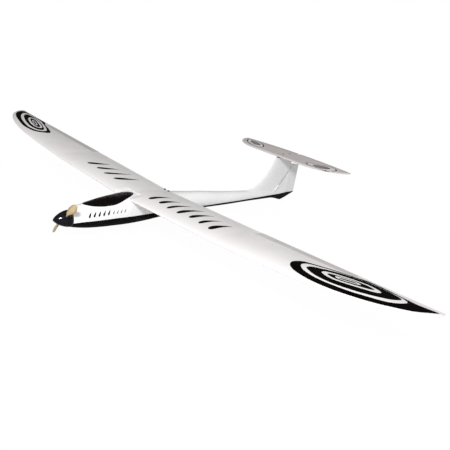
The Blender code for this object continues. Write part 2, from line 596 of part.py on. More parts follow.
# elevator pushrod: front wire, guide sleeve through the boom, rear wire up the fin's port side
el_a = Vector((0.0075, -0.1000, -0.0392))
sleeve_in = Vector((0.0075, -0.0600, -0.0392))
exit_a = Vector((0.0090, 0.5440, -0.0430))
horn_eye = Vector((0.0112, 0.6400, 0.0838))
rise = (horn_eye - exit_a).normalized()
bend = [sleeve_in, Vector((0.0080, 0.2000, -0.0470)), Vector((0.0084, 0.4500, -0.0560)), Vector((0.0086, 0.5100, -0.0555)), Vector((0.0088, 0.5300, -0.0510)), exit_a, exit_a + rise * 0.022]
pipe("elevator_guide_sleeve", bend, 0.0017, 0.0011, NYLON)
sleeve_bore = pipe("cut_sleeve_bore", bend[2:] + [exit_a + rise * 0.060], 0.0021, 0.0, None, tool=True)
wire("elevator_pushrod_front", [el_a, sleeve_in + Vector((0, 0.012, -0.0003))], 0.0007, STEEL, at=el_a)
wire("elevator_pushrod_rear", [exit_a + rise * 0.010, horn_eye], 0.0007, STEEL, at=horn_eye)
# blister over the sleeve's end, on the fin's port side
fair_rings = []
for k in range(9):
    u = k / 8
    p = exit_a + rise * (-0.006 + 0.040 * u)
    w = 0.0034 * math.sin(math.pi * (0.10 + 0.80 * u)) ** 0.7
    e2 = Vector((1, 0, 0))
    e1 = rise.cross(e2).normalized()
    fair_rings.append([p + e2 * (w * 1.0 * math.cos(q)) + e1 * (w * math.sin(q)) + e2 * -0.0004 for q in (2 * math.pi * i / 12 for i in range(12))])
fairing = loft("pushrod_exit_fairing", fair_rings, GEL)
fair_hole = rod("cut_fairing_bore", exit_a - rise * 0.030, exit_a + rise * 0.060, 0.0020, None, 12, tool=True)
boole(fairing, fair_hole)
boole(fairing, sleeve_bore)
boole(fairing, loft("cut_fairing_hull", [hull_ring(y, 32, -GAP) for y in outer_ys if y > 0.47], None, tool=True))
fin_skin = []
for z in fin_levels:
    fin_skin.append([(x + math.copysign(GAP, x) if abs(x) > 1e-9 else x, y - (GAP if abs(x) < 1e-9 else 0), z) for x, y, z in fin_ring(z)])
boole(fairing, loft("cut_fairing_fin", fin_skin, None, tool=True))
boole(hull, sleeve_bore)

# ---------------------------------------------------------------- wing
HINGE = []
for x in (AIL_X0, AIL_X1):
    p, q = Vector(wing_point(x, 1 - AIL_CHORD, 1)), Vector(wing_point(x, 1 - AIL_CHORD, -1))
    HINGE.append(((p + q) / 2, (p - q).length / 2))


def side_mirror(points, s):
    return [(s * x, y, z) for x, y, z in points]


for tag, s in (("port", 1), ("starboard", -1)):
    def m(p):
        return Vector((s * p[0], p[1], p[2]))

    # centre panel
    xs = [GAP / 2, 0.06, 0.20, 0.33, BREAK_X - GAP / 2]
    centre = loft(f"wing_centre_panel_{tag}", [side_mirror(wing_ring(x), s) for x in xs], FILM)
    core = loft(f"cut_centre_core_{tag}", [side_mirror([(x0, p[1], p[2]) for p in inner_ring(max(x, 0.0))], s) for x0, x in ((-0.004, 0.0), (0.06, 0.06), (0.20, 0.20), (BREAK_X + 0.003, BREAK_X))], None, tool=True)
    boole(centre, core)
    lo_x, hi_x = (-0.01, NOTCH_X + GAP * 1.3) if s > 0 else (-NOTCH_X - GAP * 1.3, 0.01)
    boole(centre, block(f"cut_wing_notch_{tag}", (lo_x, -0.25, -0.05), (hi_x, DECK_END + GAP * 1.3, 0.05), None, tool=True))
    # bolt hole
    bx, by = s * 0.0100, -0.0150
    boole(centre, rod(f"cut_wing_bolt_{tag}", (bx, by, -0.03), (bx, by, 0.03), 0.0023, None, 16, tool=True))
    boole(hull, rod(f"cut_hull_bolt_{tag}", (bx, by, -0.03), (bx, by, 0.03), 0.0023, None, 12, tool=True))
    boole(bolt_plate, rod(f"cut_plate_bolt_{tag}", (bx, by, -0.03), (bx, by, 0.03), 0.0023, None, 16, tool=True))
    top = wing_point(0.010, (by - ROOT_LE) / (ROOT_TE - ROOT_LE), 1)[2] + 0.0012
    turned(f"wing_bolt_{tag}", [(0.0, 0.0022), (0.0028, 0.0022), (0.0040, 0.0012), (0.0040, 0.0), (0.0019, 0.0), (0.0019, -0.0200), (0.0, -0.0200)],
           (bx, by, top), (0, 0, 1), DARK, n=16)

    # tip panel
    xs = [BREAK_X + GAP / 2, AIL_X0, 0.50, 0.58, 0.64, 0.70, 0.76, 0.81, 0.855, 0.895, 0.928, 0.954, 0.973, 0.986, 0.994, 0.9985]
    tip = loft(f"wing_tip_panel_{tag}", [side_mirror(wing_ring(x), s) for x in xs], FILM)
    core = loft(f"cut_tip_core_{tag}", [side_mirror([(x0, p[1], p[2]) for p in inner_ring(x)], s) for x0, x in
                                        ((BREAK_X - 0.002, BREAK_X + 0.001), (0.50, 0.50), (0.60, 0.60), (0.70, 0.70), (0.80, 0.80), (0.87, 0.87))], None, tool=True)
    boole(tip, core)
    (p0, r0), (p1, r1) = HINGE
    along = (p1 - p0).normalized()
    a0, a1 = p0 - along * GAP, p1 + along * GAP
    cut = [(a0.x, a0.y - r0 - GAP), (a1.x, a1.y - r1 - GAP), (a1.x, 0.05), (a0.x, 0.05)]
    cut = [(s * x, y) for x, y in cut]
    boole(tip, prism(f"cut_aileron_bay_{tag}", cut, -0.05, 0.12, None, tool=True))

    # aileron: round nose on the hinge line, flanks running to the trailing edge
    rings = []
    for k in range(9):
        u = k / 8
        c, r = p0.lerp(p1, u), (r0 + (r1 - r0) * u) - 0.0001
        c = c + along * ((GAP if k == 0 else 0) - (GAP if k == 8 else 0))
        te_up, te_dn = Vector(wing_point(c.x, 1.0, 1)), Vector(wing_point(c.x, 1.0, -1))
        mid_up, mid_dn = Vector(wing_point(c.x, 0.9, 1)), Vector(wing_point(c.x, 0.9, -1))
        slope = math.atan2(te_up.z - c.z, te_up.y - c.y)
        ring = [te_up, mid_up]
        for i in range(7):
            q = math.radians(90 + 180 * i / 6) + slope
            ring.append(Vector((c.x, c.y + r * math.cos(q), c.z + r * math.sin(q))))
        ring += [mid_dn, te_dn]
        rings.append([m(p) for p in ring])
    aileron = loft(f"aileron_{tag}", rings, GREY, at=m((p0 + p1) / 2))

    # aileron gear: servo let into the underside, arm, wire and horn
    gx = 0.560
    skin_z = wing_point(gx, 0.42, -1)[2]
    boss = rod(f"tool_aileron_boss_{tag}", m((gx + 0.003, -0.1040, skin_z - 0.0030)), m((gx + 0.0079, -0.1040, skin_z - 0.0030)), 0.0024, None, 16, tool=True)
    lo, hi = m((gx - 0.006, -0.1240, skin_z - 0.0045)), m((gx + 0.006, -0.1000, skin_z + 0.0100))
    case = servo(f"aileron_servo_{tag}", (min(lo.x, hi.x), lo.y, lo.z), (max(lo.x, hi.x), hi.y, hi.z), boss)
    boole(tip, block(f"cut_servo_bay_{tag}", (min(lo.x, hi.x) - GAP, lo.y - GAP, skin_z - 0.02), (max(lo.x, hi.x) + GAP, hi.y + GAP, skin_z + 0.0030), None, tool=True))
    pivot = m((gx + 0.0088, -0.1040, skin_z - 0.0030))
    armx = sorted((s * (gx + 0.0082), s * (gx + 0.0094)))
    block(f"aileron_servo_arm_{tag}", (armx[0], pivot.y - 0.0020, pivot.z - 0.0110), (armx[1], pivot.y + 0.0020, pivot.z + 0.0020), NYLON, bevel=0.0003, at=pivot)
    u = (gx + 0.011 - p0.x) / (p1.x - p0.x)
    hc, hr = p0.lerp(p1, u), r0 + (r1 - r0) * u
    eye_a = m((gx + 0.0105, -0.1040, pivot.z - 0.0095))
    eye_b = m((gx + 0.0105, hc.y + 0.0010, hc.z - 0.0130))
    wire(f"aileron_pushrod_{tag}", [eye_a, eye_b], 0.0007, STEEL, at=eye_a)
    hx0, hx1 = sorted((s * (gx + 0.0116), s * (gx + 0.0130)))
    horn = prism(f"aileron_horn_{tag}", [(hc.y - 0.0018, hc.z - 0.0150), (hc.y + 0.0030, hc.z - 0.0150), (hc.y + 0.0110, hc.z + 0.0), (hc.y + 0.0005, hc.z + 0.0)],
                 hx0, hx1, NYLON, axis="X", at=m(hc))
    horn_relief = []
    for k in (0, 8):
        c, r = p0.lerp(p1, k / 8), (r0 + (r1 - r0) * k / 8) + 0.0003
        te_up, te_dn = Vector(wing_point(c.x, 1.0, 1)), Vector(wing_point(c.x, 1.0, -1))
        horn_relief.append([m((c.x, c.y - r, c.z)), m((c.x, c.y, c.z - r)), m((c.x, te_dn.y, te_dn.z - 0.0006)), m((c.x, te_dn.y, te_dn.z + 0.02)), m((c.x, c.y - r, c.z + 0.02))])
    # the aileron's flat underside closes the horn's top
    boole(horn, loft(f"cut_horn_relief_{tag}", horn_relief, None, tool=True))

# wing joiner: cranked rod through both roots
jy = -0.1180
jz = lambda x: wing_point(x, (jy - ROOT_LE) / (ROOT_TE - ROOT_LE), 0)[2]
wire("wing_joiner", [(-0.150, jy, jz(0.150)), (0, jy, jz(0)), (0.150, jy, jz(0.150))], 0.0040, CARBON)
for tag, s in (("port", 1), ("starboard", -1)):
    by = -0.1250
    bz = lambda x: wing_point(x, (by - ROOT_LE) / (ROOT_TE - ROOT_LE), 0)[2]
    wire(f"tip_joiner_{tag}", [(s * (BREAK_X - 0.060), by, bz(BREAK_X - 0.060)), (s * BREAK_X, by, bz(BREAK_X)), (s * (BREAK_X + 0.060), by, bz(BREAK_X + 0.060))], 0.0035, CARBON)

# ---------------------------------------------------------------- tail
def rudder_ring(z, top=None):
    ring = [(0.0008, RUD_TE), (RUD_NOSE, RUD_HINGE + 0.0004)]
    ring += [(RUD_NOSE * math.cos(q), RUD_HINGE + RUD_NOSE * math.sin(q)) for q in (math.radians(-30 * k) for k in range(1, 6))]
    ring += [(-RUD_NOSE, RUD_HINGE + 0.0004), (-0.0008, RUD_TE)]
    return [(x, y, z) for x, y in ring]


rudder = loft("rudder", [rudder_ring(RUD_BOTTOM), rudder_ring(0.0925)], GEL, at=(0, RUD_HINGE, 0.0))
boole(rudder, prism("cut_rudder_top", [(0.6230, 0.1100), (0.6230, 0.0680), (0.6270, 0.0650), (0.6900, 0.0590), (0.6900, 0.1100)], -0.02, 0.02, None, tool=True, axis="X"))
boole(rudder, rod("cut_rudder_pin_low", (0, RUD_HINGE, -0.070), (0, RUD_HINGE, -0.0480), 0.0013, None, 12, tool=True))
boole(rudder, rod("cut_rudder_pin_top", (0, RUD_HINGE, 0.0850), (0, RUD_HINGE, 0.100), 0.0013, None, 12, tool=True))
rod("rudder_pin_lower", (0, RUD_HINGE, -0.0620), (0, RUD_HINGE, -0.0485), 0.0010, STEEL, 12)
rod("rudder_pin_upper", (0, RUD_HINGE, 0.0855), (0, RUD_HINGE, 0.0980), 0.0010, STEEL, 12)
prism("rudder_horn", [(-RUD_NOSE - GAP, 0.6165), (-0.0190, 0.6172), (-0.0190, 0.6222), (-RUD_NOSE - GAP, 0.6300)], RUD_HORN_Z - 0.0016, RUD_HORN_Z, NYLON, at=(0, RUD_HINGE, 0.0))

seat = block("tailplane_seat", (-0.0055, 0.5320, FIN_TOP + GAP), (0.0055, 0.6225, STAB_Z - STAB_T / 2 - GAP), GEL)
boole(seat, rod("cut_seat_pin", (0, RUD_HINGE, 0.0900), (0, RUD_HINGE, 0.1020), 0.0013, None, 12, tool=True))


def stab_le(x):
    v = max(0.0, (abs(x) - 0.13) / (STAB_HALF - 0.13))
    return 0.520 + 0.125 * (1 - max(0.0, 1 - v**1.9) ** 0.55)


def stab_te(x):
    return 0.672 - 0.027 * (abs(x) / STAB_HALF) ** 2.2


def stab_ring(x, n=9):
    le, te = stab_le(x), stab_te(x)
    c = max(te - le, 0.002)
    thick = STAB_T / 2 * (1 - 0.35 * (abs(x) / STAB_HALF) ** 3)
    side = []
    for k in range(n + 1):
        y = le + c * (k / n) ** 1.8
        h = thick * math.sqrt(1 - (1 - min((y - le) / 0.010, 1.0)) ** 2)
        if y > ELEV_HINGE:
            h *= 1 - 0.72 * (y - ELEV_HINGE) / max(te - ELEV_HINGE, 1e-4)
        side.append((y, min(h, thick)))
    return [(x, y, STAB_Z + h) for y, h in side] + [(x, y, STAB_Z - h) for y, h in reversed(side[1:])]


half_xs = [0.0, 0.07, 0.13, 0.165, 0.195, 0.220, 0.240, 0.255, 0.266, 0.2725, 0.2748]
stab_xs = [-x for x in reversed(half_xs[1:])] + half_xs
stab = loft("stabilizer", [stab_ring(x) for x in stab_xs], GREY)
boole(stab, block("cut_elevator_bay", (-ELEV_X - GAP * 2, ELEV_HINGE - ELEV_NOSE - GAP * 1.5, 0.08), (ELEV_X + GAP * 2, 0.70, 0.12), None, tool=True))

rings = []
for x in [-ELEV_X, -0.20, -0.14, -0.07, 0.0, 0.07, 0.14, 0.20, ELEV_X]:
    te = stab_te(x)
    ring = [(x, te, STAB_Z + 0.0008), (x, ELEV_HINGE + 0.0004, STAB_Z + ELEV_NOSE)]
    ring += [(x, ELEV_HINGE - ELEV_NOSE * math.sin(q), STAB_Z + ELEV_NOSE * math.cos(q)) for q in (math.radians(30 * k) for k in range(1, 6))]
    ring += [(x, ELEV_HINGE + 0.0004, STAB_Z - ELEV_NOSE), (x, te, STAB_Z - 0.0008)]
    rings.append(ring)
elevator = loft("elevator", rings, GREY, at=(0, ELEV_HINGE, STAB_Z))
boole(elevator, prism("cut_elevator_notch", [(-0.0125, 0.690), (-0.0035, 0.6540), (0.0035, 0.6540), (0.0125, 0.690)], 0.08, 0.12, None, tool=True))
for tag, s in (("port", 1), ("starboard", -1)):
    x0, x1 = s * (ELEV_X - 0.0070), s * (ELEV_X + 0.0075)
    hole = rod(f"cut_elevator_pin_{tag}", (x0 - s * 0.0004, ELEV_HINGE, STAB_Z), (x1 + s * 0.0004, ELEV_HINGE, STAB_Z), 0.0013, None, 12, tool=True)
    boole(elevator, hole)
    boole(stab, hole)
    rod(f"elevator_pin_{tag}", (x0, ELEV_HINGE, STAB_Z), (x1, ELEV_HINGE, STAB_Z), 0.0010, STEEL, 12)
prism("elevator_horn", [(0.6370, 0.0810), (0.6430, 0.0810), (0.6500, STAB_Z - ELEV_NOSE - 0.0002), (0.6360, STAB_Z - ELEV_NOSE - GAP)], 0.0084, 0.0100, NYLON, axis="X", at=(0, ELEV_HINGE, STAB_Z))
for tag, y in (("front", 0.5620), ("rear", 0.6030)):
    hole = rod(f"cut_tail_bolt_{tag}", (0, y, 0.0955), (0, y, 0.115), 0.0017, None, 12, tool=True)
    boole(stab, hole)
    boole(seat, hole)
    turned(f"tail_bolt_{tag}", [(0.0, 0.0016), (0.0022, 0.0016), (0.0032, 0.0008), (0.0032, 0.0), (0.0013, 0.0), (0.0013, -0.0095), (0.0, -0.0095)],
           (0, y, STAB_Z + STAB_T / 2 + GAP), (0, 0, 1), STEEL, n=16)

# ---------------------------------------------------------------- set the aircraft on its belly at the origin
for obj in bpy.data.objects:
    if obj.parent is None:
        obj.location += REST
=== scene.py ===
"""Looks of the two metre electric sailplane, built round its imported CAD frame.

Shapes are written in a working frame whose zero is the middle of the wing's trailing edge, nose
towards -Y, port wing towards +X; `put` carries them to the row frame, by an offset read from the
CAD nodes' boxes.
"""

import json
import math

import bmesh
import bpy
import numpy as np
from mathutils import Matrix, Vector
from mathutils.geometry import delaunay_2d_cdt


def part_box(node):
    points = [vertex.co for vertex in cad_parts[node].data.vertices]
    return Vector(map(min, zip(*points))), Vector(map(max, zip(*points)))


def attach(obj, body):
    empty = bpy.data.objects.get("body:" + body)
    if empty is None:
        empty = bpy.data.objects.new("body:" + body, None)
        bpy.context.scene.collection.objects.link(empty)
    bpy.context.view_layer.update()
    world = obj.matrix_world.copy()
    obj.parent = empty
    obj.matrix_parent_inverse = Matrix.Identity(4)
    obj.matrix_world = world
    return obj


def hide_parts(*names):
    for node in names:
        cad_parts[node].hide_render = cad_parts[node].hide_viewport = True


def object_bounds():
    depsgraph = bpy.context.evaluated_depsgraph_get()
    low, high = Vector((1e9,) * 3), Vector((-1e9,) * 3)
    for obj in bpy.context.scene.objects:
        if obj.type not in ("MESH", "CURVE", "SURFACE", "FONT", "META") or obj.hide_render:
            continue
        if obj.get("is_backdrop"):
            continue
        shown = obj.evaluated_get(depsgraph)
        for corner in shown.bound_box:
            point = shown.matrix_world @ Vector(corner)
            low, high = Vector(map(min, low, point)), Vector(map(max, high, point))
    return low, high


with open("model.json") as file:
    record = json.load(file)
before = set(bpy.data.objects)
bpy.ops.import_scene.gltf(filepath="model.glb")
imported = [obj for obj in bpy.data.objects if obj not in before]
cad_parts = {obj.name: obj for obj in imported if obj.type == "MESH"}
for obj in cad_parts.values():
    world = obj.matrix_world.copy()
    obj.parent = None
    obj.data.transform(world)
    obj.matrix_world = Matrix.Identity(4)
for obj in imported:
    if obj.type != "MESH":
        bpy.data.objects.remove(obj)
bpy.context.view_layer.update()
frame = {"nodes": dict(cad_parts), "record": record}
NODES = frame["nodes"]
BODY = {n: b for b, ns in frame["record"]["behaviour"]["bodies"].items() for n in ns}
scene = bpy.context.scene

# ---------------------------------------------------------------- the aircraft's dimensions
GAP = 0.0003
HALF_SPAN = 1.0
BREAK_X = 0.420
DIHEDRAL_IN = 0.0315
DIHEDRAL_OUT = 0.0684
ROOT_LE, ROOT_TE = -0.190, -0.008
LE_Z, TE_Z = -0.0060, -0.0020
TIP_Y = -0.0575
SWEEP_X = 0.55
TE_BEND_X = 0.45
WING_T = 0.098
WING_CAMBER = 0.022
AIL_X0, AIL_X1 = 0.435, 0.775
AIL_CHORD = 0.20
THRUST_Z = -0.0575
SPIN_TIP, SPIN_BACK = -0.4230, -0.3719
SPIN_R = 0.0255
PROP_ANGLE = math.radians(45.0)
PIN_R, PIN_Y = 0.0170, -0.3860
BLADE_LEN = 0.0720
NOSE_Y = -0.3682
FIN_END = 0.6125
FIN_TOP = 0.0940
WALL = 0.0015
BELLY_FLAT = -0.0932
RUD_HINGE, RUD_NOSE, RUD_TE, RUD_BOTTOM = 0.6165, 0.0033, 0.6770, -0.0575
STAB_Z, STAB_HALF, STAB_T = 0.1026, 0.275, 0.0075
ELEV_HINGE, ELEV_NOSE, ELEV_X = 0.6340, 0.0030, 0.2350
CANOPY_Y0, CANOPY_Y1, CANOPY_W = -0.3285, -0.1530, 0.0363
DECK_END = -0.1457
NOTCH_X = 0.0520

OFF = Vector((0.0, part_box("spinner")[0].y - SPIN_TIP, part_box("fuselage_shell")[0].z - BELLY_FLAT))


def put(p):
    return (p[0] + OFF.x, p[1] + OFF.y, p[2] + OFF.z)


def smooth_table(table, t):
    """Catmull-Rom through rows of (t, values...)."""
    k = 0
    while k < len(table) - 2 and t > table[k + 1][0]:
        k += 1
    r0, r1, r2, r3 = table[max(k - 1, 0)], table[k], table[k + 1], table[min(k + 2, len(table) - 1)]
    u = min(max((t - r1[0]) / (r2[0] - r1[0]), 0.0), 1.0)
    out = []
    for c in range(1, len(r1)):
        m1 = (r2[c] - r0[c]) / (r2[0] - r0[0]) * (r2[0] - r1[0])
        m2 = (r3[c] - r1[c]) / (r3[0] - r1[0]) * (r2[0] - r1[0])
        out.append((2 * u**3 - 3 * u**2 + 1) * r1[c] + (u**3 - 2 * u**2 + u) * m1
                   + (-2 * u**3 + 3 * u**2) * r2[c] + (u**3 - u**2) * m2)
    return out


# ---------------------------------------------------------------- node material helpers
class Tree:
    """Short hand for a material's node tree."""

    def __init__(self, name):
        self.m = bpy.data.materials.new(name)
        self.m.use_nodes = True
        self.t = self.m.node_tree
        self.b = self.t.nodes["Principled BSDF"]
        self.co = self.t.nodes.new("ShaderNodeTexCoord").outputs["Object"]

    def link(self, a, b):
        self.t.links.new(a, b)

    def sock(self, node, key, value):
        s = node.inputs[key]
        if isinstance(value, bpy.types.NodeSocket):
            self.link(value, s)
        elif value is not None:
            s.default_value = value

    def stretch(self, sx, sy, sz, src=None):
        n = self.t.nodes.new("ShaderNodeMapping")
        self.link(src or self.co, n.inputs["Vector"])
        n.inputs["Scale"].default_value = (sx, sy, sz)
        return n.outputs["Vector"]

    def noise(self, scale, detail=3.0, rough=0.5, vec=None, distortion=0.0):
        n = self.t.nodes.new("ShaderNodeTexNoise")
        self.link(vec or self.co, n.inputs["Vector"])
        n.inputs["Scale"].default_value = scale
        n.inputs["Detail"].default_value = detail
        n.inputs["Roughness"].default_value = rough
        n.inputs["Distortion"].default_value = distortion
        return n.outputs["Fac"]

    def voronoi(self, scale, vec=None, feature="F1"):
        n = self.t.nodes.new("ShaderNodeTexVoronoi")
        n.feature = feature
        self.link(vec or self.co, n.inputs["Vector"])
        n.inputs["Scale"].default_value = scale
        return n.outputs["Distance"]

    def wave(self, scale, axis="X", distortion=0.0, vec=None, detail_scale=1.0):
        n = self.t.nodes.new("ShaderNodeTexWave")
        n.wave_type = "BANDS"
        n.bands_direction = axis
        self.link(vec or self.co, n.inputs["Vector"])
        n.inputs["Scale"].default_value = scale
        n.inputs["Distortion"].default_value = distortion
        n.inputs["Detail"].default_value = 2.0
        n.inputs["Detail Scale"].default_value = detail_scale
        return n.outputs["Fac"]

    def attr(self, name):
        n = self.t.nodes.new("ShaderNodeAttribute")
        n.attribute_name = name
        return n.outputs["Fac"]

    def math(self, op, a, b=None, c=None, clamp=False):
        n = self.t.nodes.new("ShaderNodeMath")
        n.operation = op
        n.use_clamp = clamp
        self.sock(n, 0, a)
        if b is not None:
            self.sock(n, 1, b)
        if c is not None:
            self.sock(n, 2, c)
        return n.outputs[0]

    def span(self, value, lo, hi, out_lo=0.0, out_hi=1.0, smooth=False):
        n = self.t.nodes.new("ShaderNodeMapRange")
        n.interpolation_type = "SMOOTHSTEP" if smooth else "LINEAR"
        n.clamp = True
        self.sock(n, "Value", value)
        for key, v in (("From Min", lo), ("From Max", hi), ("To Min", out_lo), ("To Max", out_hi)):
            n.inputs[key].default_value = v
        return n.outputs["Result"]

    def mix(self, fac, a, b):
        n = self.t.nodes.new("ShaderNodeMix")
        n.data_type = "RGBA"
        self.sock(n, "Factor", fac)
        for key, v in (("A", a), ("B", b)):
            socket = [s for s in n.inputs if s.name == key and s.type == "RGBA"][0]
            if isinstance(v, bpy.types.NodeSocket):
                self.link(v, socket)
            else:
                socket.default_value = (*v, 1.0)
        return [s for s in n.outputs if s.type == "RGBA"][0]

    def bump(self, height, strength, distance=0.001, normal=None):
        n = self.t.nodes.new("ShaderNodeBump")
        self.link(height, n.inputs["Height"])
        n.inputs["Strength"].default_value = strength
        n.inputs["Distance"].default_value = distance
        if normal is not None:
            self.link(normal, n.inputs["Normal"])
        return n.outputs["Normal"]

    def done(self, color=None, rough=None, metal=0.0, normal=None, coat=0.0, coat_rough=0.05, specular=0.5, sheen=0.0):
        self.sock(self.b, "Base Color", color if not isinstance(color, tuple) else (*color, 1.0))
        self.sock(self.b, "Roughness", rough)
        self.b.inputs["Metallic"].default_value = metal
        self.b.inputs["Specular IOR Level"].default_value = specular
        self.b.inputs["Coat Weight"].default_value = coat
        self.b.inputs["Coat Roughness"].default_value = coat_rough
        if normal is not None:
            self.link(normal, self.b.inputs["Normal"])
        return self.m


def film_material(name, base, deep, rough=0.30):
    """Shrunk iron-on film: faint grain of the sheeting below, soft wrinkles that run along the span."""
    t = Tree(name)
    cloud = t.noise(5.0, 3.0, 0.5, t.stretch(1.0, 2.5, 1.0))
    grain = t.noise(60.0, 5.0, 0.6, t.stretch(0.12, 4.0, 1.0))
    tone = t.math("MULTIPLY_ADD", grain, 0.35, t.math("MULTIPLY", cloud, 0.65))
    color = t.mix(t.span(tone, 0.35, 0.65), base, deep)
    r = t.span(t.noise(22.0, 4.0), 0.3, 0.7, rough - 0.05, rough + 0.07)
    ripple = t.noise(14.0, 3.0, 0.5, t.stretch(0.5, 3.0, 1.0), 0.6)
    n1 = t.bump(ripple, 0.10, 0.0012)
    n2 = t.bump(grain, 0.10, 0.00025, n1)
    return t.done(color, r, normal=n2, coat=0.10, coat_rough=0.12)


def gel_material():
    """White gelcoat with the belly sprayed black: the attribute is the height above the paint's edge."""
    t = Tree("gelcoat_white_black_belly")
    edge = t.math("ADD", t.attr("stripe"), t.math("MULTIPLY", t.math("SUBTRACT", t.noise(160.0, 2.0), 0.5), 0.0002))
    fac = t.span(edge, -0.00018, 0.00018, smooth=True)
    cloud = t.noise(9.0, 3.0)
    white = t.mix(t.span(cloud, 0.35, 0.65), (0.88, 0.88, 0.88), (0.845, 0.845, 0.85))
    scuff = t.noise(55.0, 6.0, 0.7, t.stretch(5.0, 0.25, 5.0))
    black = t.mix(t.span(scuff, 0.62, 0.86), (0.0010, 0.0010, 0.0011), (0.0065, 0.0062, 0.0066))
    color = t.mix(fac, black, t.mix(t.attr("deck"), white, (0.790, 0.775, 0.775)))
    rough = t.math("ADD", t.span(t.noise(30.0, 4.0), 0.3, 0.7, 0.14, 0.22), t.math("MULTIPLY", t.math("SUBTRACT", 1.0, fac), t.span(scuff, 0.5, 0.8, 0.02, 0.22)))
    peel = t.bump(t.noise(420.0, 2.0), 0.05, 0.0002)
    return t.done(color, rough, normal=t.bump(t.noise(12.0, 2.0), 0.05, 0.002, peel), coat=0.15, coat_rough=0.06)


def canopy_material():
    """Dark tinted hatch with a fine woven cloth just under a clear gloss."""
    t = Tree("smoked_canopy_cloth")
    warp = t.wave(330.0, "X", 0.4)
    weft = t.wave(330.0, "Y", 0.4)
    weave = t.math("MULTIPLY", warp, weft)
    speck = t.voronoi(620.0)
    tone = t.math("MULTIPLY_ADD", t.noise(140.0, 3.0, 0.6), 0.5, t.math("MULTIPLY", weave, 0.5))
    color = t.mix(t.span(tone, 0.30, 0.72), (0.0014, 0.0008, 0.0009), (0.013, 0.007, 0.0075))
    rough = t.span(t.noise(260.0, 2.0), 0.35, 0.65, 0.16, 0.42)
    n = t.bump(weave, 0.55, 0.0004)
    n = t.bump(speck, 0.35, 0.0004, n)
    return t.done(color, rough, normal=n, coat=0.25, coat_rough=0.12, specular=0.35)


def gloss_black(name, tint=(0.0040, 0.0042, 0.0065), rough=0.10):
    t = Tree(name)
    n = t.noise(40.0, 3.0)
    color = t.mix(t.span(n, 0.3, 0.7), tint, tuple(c * 2.2 for c in tint))
    r = t.span(t.noise(90.0, 4.0), 0.3, 0.7, rough, rough + 0.08)
    return t.done(color, r, normal=t.bump(t.noise(220.0, 2.0), 0.05, 0.0002), coat=0.5, coat_rough=0.04)


def decal_black(name):
    t = Tree(name)
    n = t.noise(18.0, 4.0, 0.6, t.stretch(1.0, 2.0, 1.0))
    color = t.mix(t.span(n, 0.35, 0.7), (0.0010, 0.0008, 0.0008), (0.0042, 0.0026, 0.0026))
    r = t.span(t.noise(35.0, 4.0), 0.3, 0.7, 0.26, 0.38)
    return t.done(color, r, normal=t.bump(t.noise(26.0, 3.0), 0.08, 0.0008), coat=0.0, specular=0.22)


def plastic(name, a, b, rough=0.42, scale=60.0, bump=0.12, coat=0.0):
    """Moulded plastic: slight tone drift and a fine pebbled skin."""
    t = Tree(name)
    color = t.mix(t.span(t.noise(scale * 0.25, 3.0), 0.35, 0.65), a, b)
    r = t.span(t.noise(scale, 4.0), 0.3, 0.7, rough - 0.06, rough + 0.08)
    n = t.bump(t.noise(scale * 18, 2.0), bump, 0.00015)
    return t.done(color, r, normal=n, coat=coat)


def metal(name, a, b, rough=0.28, axis=(1.0, 1.0, 1.0), scale=260.0):
    """Metal with drawn or turned marks."""
    t = Tree(name)
    lines = t.noise(scale, 5.0, 0.6, t.stretch(*axis))
    color = t.mix(t.span(lines, 0.35, 0.65), a, b)
    r = t.span(lines, 0.3, 0.7, rough - 0.06, rough + 0.10)
    return t.done(color, r, metal=1.0, normal=t.bump(lines, 0.10, 0.0002))


def ply(name):
    t = Tree(name)
    grain = t.noise(38.0, 6.0, 0.65, t.stretch(9.0, 0.7, 9.0), 0.4)
    lamina = t.wave(330.0, "Z", 0.5)
    c1 = t.mix(t.span(grain, 0.35, 0.68), (0.60, 0.44, 0.27), (0.42, 0.27, 0.14))
    c2 = t.mix(t.math("MULTIPLY", t.span(lamina, 0.55, 0.75), 0.35), c1, (0.25, 0.14, 0.07))
    return t.done(c2, t.span(grain, 0.3, 0.7, 0.52, 0.70), normal=t.bump(grain, 0.25, 0.0004))


def wrapped(name, a, b):
    """Heat-shrunk sleeve: creases and soft gloss."""
    t = Tree(name)
    crease = t.noise(34.0, 4.0, 0.6, t.stretch(1.0, 2.4, 1.0), 1.2)
    color = t.mix(t.span(crease, 0.3, 0.7), a, b)
    return t.done(color, t.span(crease, 0.3, 0.7, 0.22, 0.36), normal=t.bump(crease, 0.5, 0.0012))


def carbon(name):
    t = Tree(name)
    w1 = t.wave(150.0, "DIAGONAL", 0.0)
    w2 = t.wave(150.0, "X", 0.0)
    weave = t.math("MULTIPLY", w1, w2)
    color = t.mix(t.span(weave, 0.2, 0.8), (0.006, 0.006, 0.007), (0.035, 0.036, 0.040))
    return t.done(color, t.span(weave, 0.0, 1.0, 0.22, 0.42), normal=t.bump(weave, 0.3, 0.0003), coat=0.4)


def blade_material():
    """Tan glass-filled nylon; the attribute is 1 along the blade's edges, where the colour turns dark brown in patches.
    """
    t = Tree("tan_blade_nylon")
    streak = t.noise(70.0, 4.0, 0.6, t.stretch(1.0, 1.0, 0.35))
    body = t.mix(t.span(streak, 0.3, 0.7), (0.62, 0.50, 0.285), (0.53, 0.415, 0.22))
    edge = t.math("MULTIPLY", t.math("POWER", t.attr("edge"), 3.0), t.span(t.noise(120.0, 3.0), 0.25, 0.6), clamp=True)
    color = t.mix(edge, body, (0.16, 0.070, 0.030))
    r = t.span(t.noise(90.0, 4.0), 0.3, 0.7, 0.34, 0.48)
    return t.done(color, r, normal=t.bump(streak, 0.15, 0.0004))


